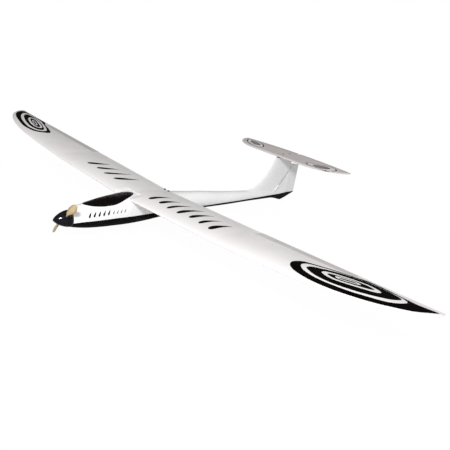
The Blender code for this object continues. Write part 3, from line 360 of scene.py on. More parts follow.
FILM = film_material("white_covering_film", (0.835, 0.815, 0.812), (0.800, 0.776, 0.774))
TAIL_FILM = film_material("grey_white_tail_film", (0.700, 0.660, 0.650), (0.655, 0.612, 0.602), 0.36)
# Ailerons: white film given a darker grey as painted shade, standing for their surfaces that tilt away from the light
AILERON_FILM_PAINTED_SHADE = film_material("aileron_film_painted_shade", (0.66, 0.63, 0.625), (0.60, 0.57, 0.565), 0.34)
GEL = gel_material()
RUD_GEL = film_material("rudder_skin", (0.865, 0.865, 0.868), (0.84, 0.84, 0.845), 0.24)
SMOKE = canopy_material()
GLOSS = gloss_black("spinner_gloss")
SKID = gloss_black("skid_black", (0.0035, 0.0033, 0.0034), 0.26)
VINYL = decal_black("ring_decal_black")
INK = decal_black("stroke_decal_black")
INK_PALE = plastic("dash_decal_grey", (0.12, 0.10, 0.105), (0.17, 0.145, 0.15), 0.35)
WHITE_VINYL = plastic("ring_decal_white", (0.86, 0.85, 0.85), (0.82, 0.81, 0.81), 0.30, bump=0.04)
HAZE = plastic("ring_decal_grey", (0.36, 0.29, 0.285), (0.27, 0.215, 0.21), 0.36)
BLADE_MAT = blade_material()
ALU = metal("turned_aluminium", (0.80, 0.81, 0.83), (0.62, 0.63, 0.65), 0.24, (1.0, 6.0, 1.0))
STEEL = metal("steel_wire", (0.66, 0.66, 0.67), (0.46, 0.46, 0.48), 0.26, (6.0, 0.5, 6.0))
MOTOR = metal("motor_can", (0.34, 0.35, 0.38), (0.24, 0.25, 0.28), 0.30, (1.0, 5.0, 1.0))
PLY = ply("birch_ply")
NYLON = plastic("white_nylon", (0.80, 0.80, 0.77), (0.74, 0.74, 0.71), 0.42)
DARK = plastic("black_nylon", (0.020, 0.020, 0.021), (0.035, 0.034, 0.034), 0.45)
SERVO = plastic("servo_case_blue", (0.045, 0.085, 0.22), (0.035, 0.065, 0.18), 0.32)
WRAP = wrapped("blue_shrink_sleeve", (0.045, 0.095, 0.36), (0.030, 0.065, 0.26))
WRAP_DARK = wrapped("black_shrink_sleeve", (0.020, 0.020, 0.024), (0.032, 0.032, 0.038))
CARBON = carbon("carbon_rod")
RED_LEAD = plastic("red_lead", (0.45, 0.020, 0.016), (0.36, 0.014, 0.012), 0.40)
BLACK_LEAD = plastic("black_lead", (0.018, 0.018, 0.018), (0.030, 0.030, 0.030), 0.42)
BROWN_LEAD = plastic("servo_lead", (0.30, 0.10, 0.03), (0.24, 0.075, 0.022), 0.42)
STRAP = plastic("hook_strap", (0.030, 0.030, 0.032), (0.055, 0.054, 0.056), 0.85, 140.0, 0.8)
CLEAR = plastic("clear_tape", (0.93, 0.93, 0.93), (0.88, 0.87, 0.87), 0.12, 40.0, 0.05, coat=0.4)
SEAM = plastic("film_seam", (0.60, 0.585, 0.585), (0.66, 0.645, 0.645), 0.35)


# ---------------------------------------------------------------- mesh helpers
def object_of(name, mesh, mats, smooth=True, sharp=34.0):
    obj = bpy.data.objects.new(name, mesh)
    scene.collection.objects.link(obj)
    mesh.materials.clear()
    for m in mats if isinstance(mats, (list, tuple)) else [mats]:
        mesh.materials.append(m)
    if smooth:
        for p in mesh.polygons:
            p.use_smooth = True
        mesh.set_sharp_from_angle(angle=math.radians(sharp))
    return obj


def mesh_from(name, verts, faces, merge=1e-7):
    """A mesh from working-frame points, carried to the row frame."""
    mesh = bpy.data.meshes.new(name)
    mesh.from_pydata([put(v) for v in verts], [], faces)
    bm = bmesh.new()
    bm.from_mesh(mesh)
    if merge:
        bmesh.ops.remove_doubles(bm, verts=bm.verts, dist=merge)
        bmesh.ops.dissolve_degenerate(bm, edges=bm.edges, dist=merge)
    bmesh.ops.recalc_face_normals(bm, faces=bm.faces)
    bm.to_mesh(mesh)
    bm.free()
    return mesh


def loft_mesh(name, rings, merge=1e-7, fan=False):
    n = len(rings[0])
    verts = [p for ring in rings for p in ring]
    faces = []
    for k in range(len(rings) - 1):
        a, b = k * n, (k + 1) * n
        for i in range(n):
            j = (i + 1) % n
            faces.append((a + i, a + j, b + j, b + i))
    if fan:
        for base, ring in ((0, rings[0]), ((len(rings) - 1) * n, rings[-1])):
            c = len(verts)
            verts.append(tuple(sum(p[q] for p in ring) / n for q in range(3)))
            faces += [(c, base + (i + 1) % n, base + i) for i in range(n)]
    else:
        faces.append(tuple(reversed(range(n))))
        faces.append(tuple(range((len(rings) - 1) * n, len(rings) * n)))
    return mesh_from(name, verts, faces, merge)


def loft(name, rings, mats, smooth=True, sharp=34.0, fan=False, merge=1e-7):
    return object_of(name, loft_mesh(name, rings, merge, fan), mats, smooth, sharp)


def cutter_box(lo, hi):
    lo, hi = Vector(lo), Vector(hi)
    v = [((hi if i & 1 else lo).x, (hi if i & 2 else lo).y, (hi if i & 4 else lo).z) for i in range(8)]
    f = [(0, 1, 3, 2), (4, 6, 7, 5), (0, 4, 5, 1), (2, 3, 7, 6), (0, 2, 6, 4), (1, 5, 7, 3)]
    return object_of("cutter", mesh_from("cutter", v, f), [], False)


def cutter_prism(outline, lo, hi, axis="Z"):
    def q(p, h):
        return (p[0], p[1], h) if axis == "Z" else (h, p[0], p[1])
    return object_of("cutter", loft_mesh("cutter", [[q(p, lo) for p in outline], [q(p, hi) for p in outline]]), [], False)


def cutter_rod(p0, p1, r, n=24):
    p0, p1 = Vector(put(p0)), Vector(put(p1))
    bm = bmesh.new()
    bmesh.ops.create_cone(bm, cap_ends=True, segments=n, radius1=r, radius2=r, depth=(p1 - p0).length)
    bm.transform(Matrix.Translation((p0 + p1) / 2) @ (p1 - p0).normalized().to_track_quat("Z", "Y").to_matrix().to_4x4())
    mesh = bpy.data.meshes.new("cutter")
    bm.to_mesh(mesh)
    bm.free()
    return object_of("cutter", mesh, [], False)


def carve(obj, cutters, op="DIFFERENCE", sharp=34.0):
    """Applies exact booleans and drops the cutters."""
    for c in cutters:
        m = obj.modifiers.new("cut", "BOOLEAN")
        m.solver = "EXACT"
        m.operation = op
        m.object = c
    bpy.context.view_layer.update()
    graph = bpy.context.evaluated_depsgraph_get()
    mesh = bpy.data.meshes.new_from_object(obj.evaluated_get(graph), depsgraph=graph)
    mats = [s for s in obj.data.materials]
    obj.modifiers.clear()
    old = obj.data
    obj.data = mesh
    bpy.data.meshes.remove(old)
    mesh.materials.clear()
    for m in mats:
        mesh.materials.append(m)
    bm = bmesh.new()
    bm.from_mesh(mesh)
    bmesh.ops.remove_doubles(bm, verts=bm.verts, dist=2e-7)
    bmesh.ops.dissolve_degenerate(bm, edges=bm.edges, dist=2e-7)
    for f in bm.faces:
        f.material_index = 0
        f.smooth = True
    bm.to_mesh(mesh)
    bm.free()
    mesh.set_sharp_from_angle(angle=math.radians(sharp))
    for c in cutters:
        data = c.data
        bpy.data.objects.remove(c, do_unlink=True)
        bpy.data.meshes.remove(data)
    return obj


def stands_for(obj, *nodes):
    """The piece takes the CAD node's place and rides on the same body."""
    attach(obj, BODY[nodes[0]])
    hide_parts(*nodes)
    return obj


def vertex_value(obj, name, values):
    a = obj.data.attributes.get(name) or obj.data.attributes.new(name, "FLOAT", "POINT")
    a.data.foreach_set("value", np.asarray(values, np.float32))


def points_of(obj):
    co = np.empty(len(obj.data.vertices) * 3, np.float32)
    obj.data.vertices.foreach_get("co", co)
    return co.reshape(-1, 3).astype(float) - np.array(OFF)


# ---------------------------------------------------------------- fuselage
HULL = [
    (-0.3682, -0.0313, -0.0840, 0.0262, 2.0, 2.0),
    (-0.3500, -0.0238, -0.0876, 0.0312, 2.1, 2.1),
    (-0.3200, -0.0159, -0.0914, 0.0366, 2.1, 2.2),
    (-0.2900, -0.0105, -0.0934, 0.0408, 2.2, 2.2),
    (-0.2600, -0.0055, -0.0941, 0.0440, 2.3, 2.3),
    (-0.2300, -0.0027, -0.0943, 0.0462, 2.35, 2.3),
    (-0.2000, -0.0013, -0.0942, 0.0478, 2.4, 2.4),
    (-0.1700, 0.0017, -0.0939, 0.0484, 2.8, 2.4),
    (-0.1400, 0.0050, -0.0930, 0.0480, 3.6, 2.4),
    (-0.1000, 0.0020, -0.0905, 0.0460, 3.4, 2.4),
    (-0.0500, -0.0020, -0.0868, 0.0420, 3.0, 2.3),
    (0.0000, -0.0055, -0.0830, 0.0378, 2.5, 2.2),
    (0.0500, -0.0092, -0.0797, 0.0345, 2.2, 2.1),
    (0.1000, -0.0130, -0.0778, 0.0322, 2.1, 2.0),
    (0.1500, -0.0162, -0.0769, 0.0304, 2.0, 2.0),
    (0.2000, -0.0210, -0.0768, 0.0280, 2.0, 2.0),
    (0.2500, -0.0255, -0.0768, 0.0256, 2.0, 2.0),
    (0.3000, -0.0288, -0.0762, 0.0236, 2.0, 2.0),
    (0.3500, -0.0317, -0.0751, 0.0216, 2.0, 2.0),
    (0.4000, -0.0347, -0.0743, 0.0198, 2.0, 2.0),
    (0.4500, -0.0378, -0.0740, 0.0180, 2.0, 2.0),
    (0.5000, -0.0408, -0.0739, 0.0160, 2.0, 2.0),
    (0.5500, -0.0438, -0.0739, 0.0132, 2.0, 2.0),
    (0.5850, -0.0458, -0.0738, 0.0098, 2.0, 2.0),
    (0.6110, -0.0470, -0.0735, 0.0060, 2.0, 2.0),
]
FIN_LE = [(-0.052, 0.376), (-0.034, 0.388), (-0.028, 0.409), (-0.020, 0.4255), (-0.005, 0.450),
          (0.012, 0.4695), (0.030, 0.486), (0.055, 0.5025), (0.080, 0.5135), (0.0940, 0.5190)]
FILLET = 0.0065


def hull_half(y, skin=0.0, count=420):
    """Right half of the plain hull section at y, from keel to crown, as dense (x, z) points."""
    top, bottom, half, up, low = smooth_table(HULL, y)
    mid = (top + bottom) / 2
    a, bu, bl = half - skin, top - mid - skin, mid - bottom - skin
    t = np.linspace(-math.pi / 2, math.pi / 2, count)
    c, s = np.abs(np.cos(t)), np.sin(t)
    e = np.where(s >= 0, up, low)
    b = np.where(s >= 0, bu, bl)
    x = a * c ** (2 / e)
    z = mid + b * np.sign(s) * np.abs(s) ** (2 / e)
    swell = 0.010 * math.exp(-(((y + 0.170) / 0.050) ** 2)) * np.exp(-(((z + 0.006) / 0.014) ** 2))
    x = x + swell * np.minimum(1.0, np.abs(x) / 0.02)
    x[0] = x[-1] = 0.0
    z = np.maximum(z, BELLY_FLAT + skin)
    return x, z


FIN_TABLE_Z = np.linspace(-0.052, FIN_TOP, 400)
FIN_TABLE_Y = np.array([smooth_table(FIN_LE, z)[0] for z in FIN_TABLE_Z])


def fin_half_width(y, z):
    le = np.interp(z, FIN_TABLE_Z, FIN_TABLE_Y)
    fat = 0.0056 - 0.0014 * np.clip((z + 0.05) / 0.145, 0, 1)
    end = RUD_NOSE + 0.0001
    s = np.clip((y - le) / (FIN_END - le), 0, 1)
    return np.where(s < 0.32, fat * np.sqrt(np.maximum(0, 1 - ((0.32 - s) / 0.32) ** 2)), fat + (end - fat) * (s - 0.32) / 0.68), le


def tail_half(y, count=420):
    """Right half of the section where boom and fin run into each other with a soft fillet."""
    top, bottom, half, up, low = smooth_table(HULL, min(y, 0.6110))
    mid, b = (top + bottom) / 2, (top - bottom) / 2

    def field(x, z):
        q = np.sqrt((x / half) ** 2 + ((z - mid) / b) ** 2)
        r = np.sqrt(x**2 + (z - mid) ** 2)
        hull = np.where(q > 1e-6, r * (1 - 1 / np.maximum(q, 1e-6)), -half)
        w, le = fin_half_width(y, z)
        ahead = np.maximum(0.0, le - y) * 0.75
        fin = np.where(ahead > 0, np.sqrt(x**2 + ahead**2), np.abs(x) - w)
        fin = np.where(z < mid, 0.02, fin)
        h = np.clip(0.5 + 0.5 * (fin - hull) / FILLET, 0, 1)
        return fin * (1 - h) + hull * h - FILLET * h * (1 - h)

    zs = np.linspace(top - 0.002, FIN_TOP, 3000)
    inside = np.nonzero(field(np.zeros_like(zs), zs) < 0)[0]
    crown = zs[inside[-1]] if len(inside) else top
    if len(inside) and inside[-1] < len(zs) - 1:
        lo, hi = zs[inside[-1]], zs[inside[-1] + 1]
        for _ in range(24):
            m = (lo + hi) / 2
            if field(np.zeros(1), np.array([m]))[0] < 0:
                lo = m
            else:
                hi = m
        crown = lo
    u = (1 - np.cos(np.linspace(0, math.pi, count))) / 2
    z = bottom + (crown - bottom) * u
    lo, hi = np.zeros_like(z), np.full_like(z, 0.06)
    for _ in range(40):
        m = (lo + hi) / 2
        out = field(m, z) > 0
        hi = np.where(out, m, hi)
        lo = np.where(out, lo, m)
    x = (lo + hi) / 2
    x[0] = 0.0
    if crown < FIN_TOP - 1e-5:
        x[-1] = 0.0
    else:
        x, z = np.append(x, 0.0), np.append(z, crown)
    return x, z


def resample(x, z, n):
    d = np.concatenate([[0], np.cumsum(np.hypot(np.diff(x), np.diff(z)))])
    t = np.linspace(0, d[-1], n)
    return np.interp(t, d, x), np.interp(t, d, z)


def section(y, n, skin=0.0):
    x, z = hull_half(y, skin) if y < 0.362 or skin else tail_half(y)
    if y > 0.362 and x[-2] > 0.002 and abs(z[-1] - z[-2]) < 1e-7:   # keep the flat fin top's corner
        xa, za = resample(x[:-1], z[:-1], n - 1)
        xa, za = np.append(xa, 0.0), np.append(za, z[-1])
    else:
        xa, za = resample(x, z, n)
    right = [(float(a), y, float(b)) for a, b in zip(xa, za)]
    return right + [(-p[0], p[1], p[2]) for p in reversed(right[1:-1])]


def steps(a, b, step):
    n = max(1, round((b - a) / step))
    return [a + (b - a) * k / n for k in range(n)]


HALF_N = 72
stations = steps(NOSE_Y, -0.330, 0.0035) + steps(-0.330, 0.02, 0.006) + steps(0.02, 0.36, 0.012) + steps(0.36, 0.51, 0.004) + steps(0.51, 0.527, 0.0025) + steps(0.527, FIN_END, 0.0085) + [FIN_END]
hull = loft("fuselage", [section(y, HALF_N) for y in stations], GEL)
inner_ys = [-0.3720] + steps(NOSE_Y, 0.02, 0.014) + steps(0.02, 0.56, 0.05) + [0.56]
hull_in = loft("cutter", [section(max(y, NOSE_Y), 34, WALL) if y >= NOSE_Y else [(p[0], y, p[2]) for p in section(NOSE_Y, 34, WALL)] for y in inner_ys], [], False)


CANOPY_W_TABLE = [  # share of the hatch's length, half width
    (0.052, 0.0140), (0.10, 0.0200), (0.17, 0.0252), (0.25, 0.0297), (0.33, 0.0329), (0.42, 0.0352), (0.50, 0.0363), (0.58, 0.0362),
    (0.65, 0.0347), (0.72, 0.0320), (0.78, 0.0287), (0.84, 0.0247), (0.90, 0.0199), (0.95, 0.0148)]


def canopy_half_width(u):
    """Half width of the hatch; its ends are rounded like a parabola's nose."""
    first, last = CANOPY_W_TABLE[0], CANOPY_W_TABLE[-1]
    if u < first[0]:
        return first[1] * math.sqrt(max(u, 0.0) / first[0])
    if u > last[0]:
        return last[1] * math.sqrt(max(1 - u, 0.0) / (1 - last[0]))
    return smooth_table(CANOPY_W_TABLE, u)[0]


def canopy_half(u):
    """Half width and station of the hatch outline, u from its front end to its rear end."""
    return canopy_half_width(u), CANOPY_Y0 + (CANOPY_Y1 - CANOPY_Y0) * u


def canopy_outline(shrink, n=60):
    left = [canopy_half(0.5 - 0.5 * math.cos(math.pi * k / n)) for k in range(n + 1)]
    mid_y = (CANOPY_Y0 + CANOPY_Y1) / 2
    pts = left + [(-x, y) for x, y in reversed(left[1:-1])]
    sy = 1 - shrink / (0.5 * (CANOPY_Y1 - CANOPY_Y0))
    return [(x * (1 - shrink / CANOPY_W), mid_y + (y - mid_y) * sy) for x, y in pts]


# ---------------------------------------------------------------- wing surfaces
def wing_rise(x):
    x = abs(x)
    return DIHEDRAL_IN * min(x, BREAK_X) + DIHEDRAL_OUT * max(0.0, x - BREAK_X)


def wing_le(x):
    u = max(0.0, (abs(x) - SWEEP_X) / (HALF_SPAN - SWEEP_X))
    return TIP_Y + (ROOT_LE - TIP_Y) * max(0.0, 1 - u**2.6) ** 0.526


def wing_te(x):
    u = max(0.0, (abs(x) - TE_BEND_X) / (HALF_SPAN - TE_BEND_X))
    return ROOT_TE + (TIP_Y + 0.006 - ROOT_TE) * u


def ordinate(s):
    s = min(max(s, 0.0), 1.0)
    t = 5 * WING_T * (0.2969 * math.sqrt(s) - 0.1260 * s - 0.3516 * s**2 + 0.2843 * s**3 - 0.1015 * s**4)
    p = 0.38
    c = WING_CAMBER / p**2 * (2 * p * s - s * s) if s < p else WING_CAMBER / (1 - p) ** 2 * (1 - 2 * p + 2 * p * s - s * s)
    return t, c


def wing_point(x, s, side, out=0.0):
    le, te = wing_le(x), wing_te(x)
    c = te - le
    t, m = ordinate(s)
    small = c / (ROOT_TE - ROOT_LE)
    thick = max(t * c, 0.0006) + out
    z = wing_rise(x) + (LE_Z * (1 - s) + TE_Z * s) * small + m * c + side * thick
    return (x, le + c * s - (out if s < 1e-6 else 0.0), z)


def wing_ring(x, n=13, out=0.0):
    ss = [(k / (n - 1)) ** 1.6 for k in range(n)]
    upper = [wing_point(x, s, 1, out) for s in reversed(ss[1:])]
    nose = [(x, wing_le(x) - out, wing_point(x, 0.0, 0)[2])]
    return upper + nose + [wing_point(x, s, -1, out) for s in ss[1:]]


def fine_ring(x, n=44):
    """Section with points crowded round the nose, where the film turns."""
    ss = [(1 - math.cos(math.pi / 2 * k / (n - 1))) ** 1.25 for k in range(n)]
    upper = [wing_point(x, s, 1) for s in reversed(ss[1:])]
    nose = [(x, wing_le(x), wing_point(x, 0.0, 0)[2])]
    return upper + nose + [wing_point(x, s, -1) for s in ss[1:]]


def side_mirror(points, s):
    return [(s * p[0], p[1], p[2]) for p in points]


def wing_top(x, y, lift=0.0):
    """Point on the wing's upper skin over (x, y)."""
    le, te = wing_le(x), wing_te(x)
    s = min(max((y - le) / (te - le), 0.0), 1.0)
    p = wing_point(abs(x), s, 1)
    return (x, y, p[2] + lift)


def saddle_ring(x):
    s0 = (DECK_END - wing_le(x)) / (wing_te(x) - wing_le(x))
    low = [wing_point(x, s0 + (1 - s0) * k / 24, -1, GAP) for k in range(25)]
    low[-1] = (x, low[-1][1] + GAP * 1.5, low[-1][2])
    return low + [(x, low[-1][1], 0.03), (x, DECK_END, 0.03)]


def stub_ring(x, n=26):
    """Front part of the wing section, nose to the end of the fuselage deck."""
    s1 = (DECK_END - 0.0001 - wing_le(x)) / (wing_te(x) - wing_le(x))
    ss = [(k / (n - 1)) ** 1.6 * s1 for k in range(n)]
    return [wing_point(x, q, 1) for q in reversed(ss[1:])] + [(x, wing_le(x), wing_point(x, 0.0, 0)[2])] + [wing_point(x, q, -1) for q in ss[1:]]


# root stubs of the wing's leading edge, moulded on the deck's shoulders
for sgn in (1, -1):
    rings = []
    for k in range(13):
        u = k / 12
        x = 0.0270 + (NOTCH_X - GAP - 0.0270) * u
        sink = 0.0046 * (1 - u) ** 2
        rings.append([(sgn * px, min(py, DECK_END - 0.0001), pz - sink) for px, py, pz in stub_ring(x)])
    carve(hull, [loft("cutter", rings if sgn > 0 else rings[::-1], [], False)], "UNION")

cut = [hull_in,
       cutter_prism(canopy_outline(0.0), -0.043, 0.03),
       loft("cutter", [saddle_ring(x) for x in (-0.075, 0.0, 0.075)], [], False),
       loft("cutter", [wing_ring(x, 30, GAP) for x in (NOTCH_X, 0.10)], [], False),
       loft("cutter", [wing_ring(x, 30, GAP) for x in (-0.10, -NOTCH_X)], [], False),
       cutter_rod((0.0087, 0.545, -0.0450), (0.0110, 0.567, -0.0110), 0.0021),
       cutter_rod((-0.0132, 0.330, -0.0442), (-0.0172, 0.617, -0.0477), 0.0018)]
carve(hull, cut)

# height of every point above the edge of the black belly paint
STRIPE = [(-0.3682, -0.0655), (-0.3500, -0.0627), (-0.3200, -0.0610), (-0.2800, -0.0592), (-0.2300, -0.0572), (-0.1800, -0.0566), (-0.1200, -0.0560),
          (-0.0500, -0.0568), (0.0500, -0.0590), (0.1500, -0.0612), (0.2300, -0.0610), (0.3400, -0.0607), (0.4300, -0.0590), (0.5000, -0.0576), (0.5700, -0.0576), (0.6125, -0.0578)]
co = points_of(hull)
ys = np.linspace(NOSE_Y, FIN_END, 500)
vertex_value(hull, "stripe", co[:, 2] - np.interp(co[:, 1], ys, [smooth_table(STRIPE, y)[0] for y in ys]))
def ease(v, a, b):
    q = np.clip((v - a) / (b - a), 0, 1)
    return q * q * (3 - 2 * q)


vertex_value(hull, "deck", ease(co[:, 1], -0.190, -0.170) * (1 - ease(co[:, 1], -0.02, 0.02)) * ease(co[:, 2], -0.020, -0.006))
stands_for(hull, "fuselage_shell")


def hull_x(y, z):
    x, zz = hull_half(y)
    k = np.argmax(x)
    return float(np.interp(z, zz[k:], x[k:])) if z > zz[k] else float(np.interp(z, zz[:k + 1], x[:k + 1]))


# canopy hatch: the hull's crown inside the outline, as a moulded shell
rows_t, rows_b = [], []
CROSS = 40
for k in range(121):
    u = 0.5 - 0.5 * math.cos(math.pi * k / 120)
    w, y = canopy_half(u)
    shrink = GAP * 1.4
    w *= 1 - shrink / CANOPY_W
    mid_y = (CANOPY_Y0 + CANOPY_Y1) / 2
    y = mid_y + (y - mid_y) * (1 - shrink / (0.5 * (CANOPY_Y1 - CANOPY_Y0)))
    hx, hz = hull_half(y)
    top_i = int(np.argmax(hx))
    cx, cz = hx[top_i:][::-1], hz[top_i:][::-1]
    row_t, row_b = [], []
    for i in range(CROSS + 1):
        t = math.sin(math.pi / 2 * (2 * i / CROSS - 1))
        x = w * t
        z = float(np.interp(abs(x), cx, cz))
        z2 = float(np.interp(abs(x) + 0.0006, cx, cz))
        slope = min(2.0, abs(z - z2) / 0.0006)
        row_t.append((x, y, z))
        row_b.append((x * 0.985, y, z - WALL * math.sqrt(1 + slope * slope)))
    rows_t.append(row_t)
    rows_b.append(row_b)
verts, faces = [], []
m = CROSS + 1
for rows in (rows_t, rows_b):
    verts += [p for r in rows for p in r]
nt = len(rows_t) * m
for k in range(len(rows_t) - 1):
    for i in range(CROSS):
        a, b, c, d = k * m + i, k * m + i + 1, (k + 1) * m + i + 1, (k + 1) * m + i
        faces.append((a, b, c, d))
        faces.append((nt + d, nt + c, nt + b, nt + a))
    for i in (0, CROSS):
        a, d = k * m + i, (k + 1) * m + i
        faces.append((a, d, nt + d, nt + a))
for k in (0, len(rows_t) - 1):
    for i in range(CROSS):
        a, b = k * m + i, k * m + i + 1
        faces.append((a, b, nt + b, nt + a))
canopy = object_of("canopy_hatch", mesh_from("canopy_hatch", verts, faces, 2e-6), SMOKE, True, 40)
stands_for(canopy, "canopy")

# ---------------------------------------------------------------- tail skid
SKID_LINE = [  # y, top z, bottom z, half width
    (0.5200, -0.0700, -0.0730, 0.0022), (0.5450, -0.0700, -0.0764, 0.0036), (0.5660, -0.0690, -0.0803, 0.0042), (0.5820, -0.0670, -0.0850, 0.0045), (0.5940, -0.0650, -0.0876, 0.0045),
    (0.6040, -0.0615, -0.0868, 0.0045), (0.6260, -0.0590, -0.0800, 0.0042), (0.6520, -0.0588, -0.0700, 0.0034), (0.6700, -0.0588, -0.0632, 0.0022), (0.6770, -0.0588, -0.0606, 0.0010)]
rings = []
for k in range(71):
    y = 0.5205 + (0.6768 - 0.5205) * k / 70
    top, low, half = smooth_table(SKID_LINE, y)
    ring = []
    for i in range(25):
        q = math.pi * i / 24
        ring.append((half * math.cos(q) ** 1.0, y, top - (top - low) * math.sin(q) ** 0.75))
    rings.append(ring)
skid = loft("tail_skid_keel", rings, SKID, True, 50)
carve(skid, [cutter_rod((0, RUD_HINGE, -0.0625), (0, RUD_HINGE, -0.050), 0.0014)], sharp=50)
stands_for(skid, "tail_skid")

# ---------------------------------------------------------------- propeller
U = Vector((math.cos(PROP_ANGLE), 0, math.sin(PROP_ANGLE)))
W = Vector((-math.sin(PROP_ANGLE), 0, math.cos(PROP_ANGLE)))
AX = Vector((0, 0, THRUST_Z))


def spinner_r(d):
    u = min(max(d / (SPIN_BACK - SPIN_TIP), 0.0), 1.0)
    return SPIN_R * (1 - (1 - u) ** 1.75) ** 0.80


def lathe(name, profile, foot_y, mats, n=72, sharp=34.0):
    """Turned about the thrust line; profile is (radius, distance aft)."""
    rings = []
    for r, d in profile:
        rings.append([(r * math.cos(2 * math.pi * i / n), foot_y + d, THRUST_Z + r * math.sin(2 * math.pi * i / n)) for i in range(n)])
    verts = [p for ring in rings for p in ring]
    faces = []
    count = len(rings)
    closed = profile[0][0] > 1e-9
    for k in range(count if closed else count - 1):
        a, b = k * n, ((k + 1) % count) * n
        for i in range(n):
            j = (i + 1) % n
            faces.append((a + i, a + j, b + j, b + i))
    return object_of(name, mesh_from(name, verts, faces, 1e-6), mats, True, sharp)


def prop_cutter(lo, hi):
    v = []
    for i in range(8):
        x, y, z = (hi if i & 1 else lo)[0], (hi if i & 2 else lo)[1], (hi if i & 4 else lo)[2]
        v.append(tuple(AX + U * x + Vector((0, y, 0)) + W * z))
    f = [(0, 1, 3, 2), (4, 6, 7, 5), (0, 4, 5, 1), (2, 3, 7, 6), (0, 2, 6, 4), (1, 5, 7, 3)]
    return object_of("cutter", mesh_from("cutter", v, f), [], False)


LENGTH = SPIN_BACK - SPIN_TIP
ds = [LENGTH * (k / 40) ** 2.2 for k in range(41)]
profile = [(0.0 if k == 0 else spinner_r(d), d) for k, d in enumerate(ds)]
profile[-1] = (SPIN_R - 0.0003, LENGTH)
profile.insert(-1, (SPIN_R, LENGTH - 0.0004))
inside = [(max(spinner_r(d) - 0.0013, 0.0004), d + 0.0004) for d in reversed(ds[12:-3])]
profile += [(SPIN_R - 0.0013, LENGTH)] + inside + [(0.0, 0.0042)]
spinner = lathe("spinner_cone", profile, SPIN_TIP, GLOSS)
carve(spinner, [prop_cutter((-0.040, -0.3925, -0.0066), (0.040, -0.3650, 0.0066))])
stands_for(spinner, "spinner")
plate = lathe("spinner_backplate_disc", [(0.0021, 0.0), (0.0021, 0.0024), (0.0250, 0.0024), (0.0255, 0.0020), (0.0255, 0.0004), (0.0250, 0.0)], SPIN_BACK + GAP, ALU)
carve(plate, [prop_cutter((0.0190, -0.380, -0.0068), (0.04, -0.360, 0.0068)), prop_cutter((-0.04, -0.380, -0.0068), (-0.0190, -0.360, 0.0068))])
stands_for(plate, "spinner_backplate")

BLADE = [
    (-0.0036, 0.0050, 0.0026, 90), (-0.0020, 0.0068, 0.0038, 90), (0.0020, 0.0070, 0.0038, 90), (0.0065, 0.0074, 0.0036, 84), (0.0120, 0.0108, 0.0033, 66),
    (0.0210, 0.0172, 0.0029, 47), (0.0330, 0.0222, 0.0025, 36), (0.0460, 0.0228, 0.0021, 28),
    (0.0590, 0.0194, 0.0017, 24), (0.0665, 0.0130, 0.0014, 22), (0.0705, 0.0078, 0.0011, 21), (BLADE_LEN, 0.0030, 0.0008, 20)]
for tag, sgn in (("a", 1), ("b", -1)):
    pivot = AX + U * (sgn * PIN_R) + Vector((0, PIN_Y, 0))
    span, tang = U * sgn, W * sgn
    rings, edge = [], []
    for k in range(61):
        d = BLADE[0][0] + (BLADE_LEN - BLADE[0][0]) * math.sin(math.pi / 2 * k / 60)
        c, t, ang = smooth_table(BLADE, d)
        a = math.radians(ang)
        chord = tang * math.cos(a) - Vector((0, 1, 0)) * math.sin(a)
        thick = tang * math.sin(a) + Vector((0, 1, 0)) * math.cos(a)
        ring = []
        for i in range(28):
            q = 2 * math.pi * i / 28
            camber = 0.05 * c * math.sin(q) ** 2 * min(1.0, max(0.0, (d - 0.006) / 0.01))
            ring.append(tuple(pivot + span * d + chord * (c / 2 * math.cos(q)) + thick * (t / 2 * math.sin(q) * (0.75 + 0.25 * math.cos(q)) - camber * 0.4)))
            edge.append(abs(math.cos(q)))
        rings.append(ring)
    mesh = loft_mesh(f"blade_{tag}", rings, merge=0)
    blade = object_of(f"folding_blade_{tag}", mesh, BLADE_MAT, True, 60)
    vertex_value(blade, "edge", edge)
    stands_for(blade, f"propeller_blade_{tag}")


# ---------------------------------------------------------------- wing panels
def catmull(points, per=10, closed=False):
    """Smooth curve through plan points."""
    out = []
    n = len(points)
    last = n if closed else n - 1
    for k in range(last):
        p = [points[(k + d) % n] if closed else points[min(max(k + d, 0), n - 1)] for d in (-1, 0, 1, 2)]
        for i in range(per):
            u = i / per
            out.append(tuple(0.5 * (2 * p[1][c] + (p[2][c] - p[0][c]) * u + (2 * p[0][c] - 5 * p[1][c] + 4 * p[2][c] - p[3][c]) * u * u
                                    + (3 * p[1][c] - p[0][c] - 3 * p[2][c] + p[3][c]) * u**3) for c in range(2)))
    if not closed:
        out.append(tuple(points[-1]))
    return out


def inside_all(pts, loops):
    """Even-odd test of points against several loops."""
    pts = np.asarray(pts, float).reshape(-1, 2)
    flag = np.zeros(len(pts), bool)
    for loop in loops:
        q = np.asarray(loop, float)
        a, b = q, np.roll(q, -1, axis=0)
        for (x0, y0), (x1, y1) in zip(a, b):
            if y0 == y1:
                continue
            hit = ((pts[:, 1] >= y0) != (pts[:, 1] >= y1)) & (pts[:, 0] < x0 + (pts[:, 1] - y0) * (x1 - x0) / (y1 - y0))
            flag ^= hit
    return flag


def near_loops(pts, loops, d):
    pts = np.asarray(pts, float).reshape(-1, 2)
    best = np.full(len(pts), 1e9)
    for loop in loops:
        q = np.asarray(loop, float)
        for a, b in zip(q, np.roll(q, -1, axis=0)):
            v = b - a
            t = np.clip(((pts - a) @ v) / max(v @ v, 1e-16), 0, 1)
            best = np.minimum(best, np.hypot(*(pts - a - t[:, None] * v).T))
    return best < d


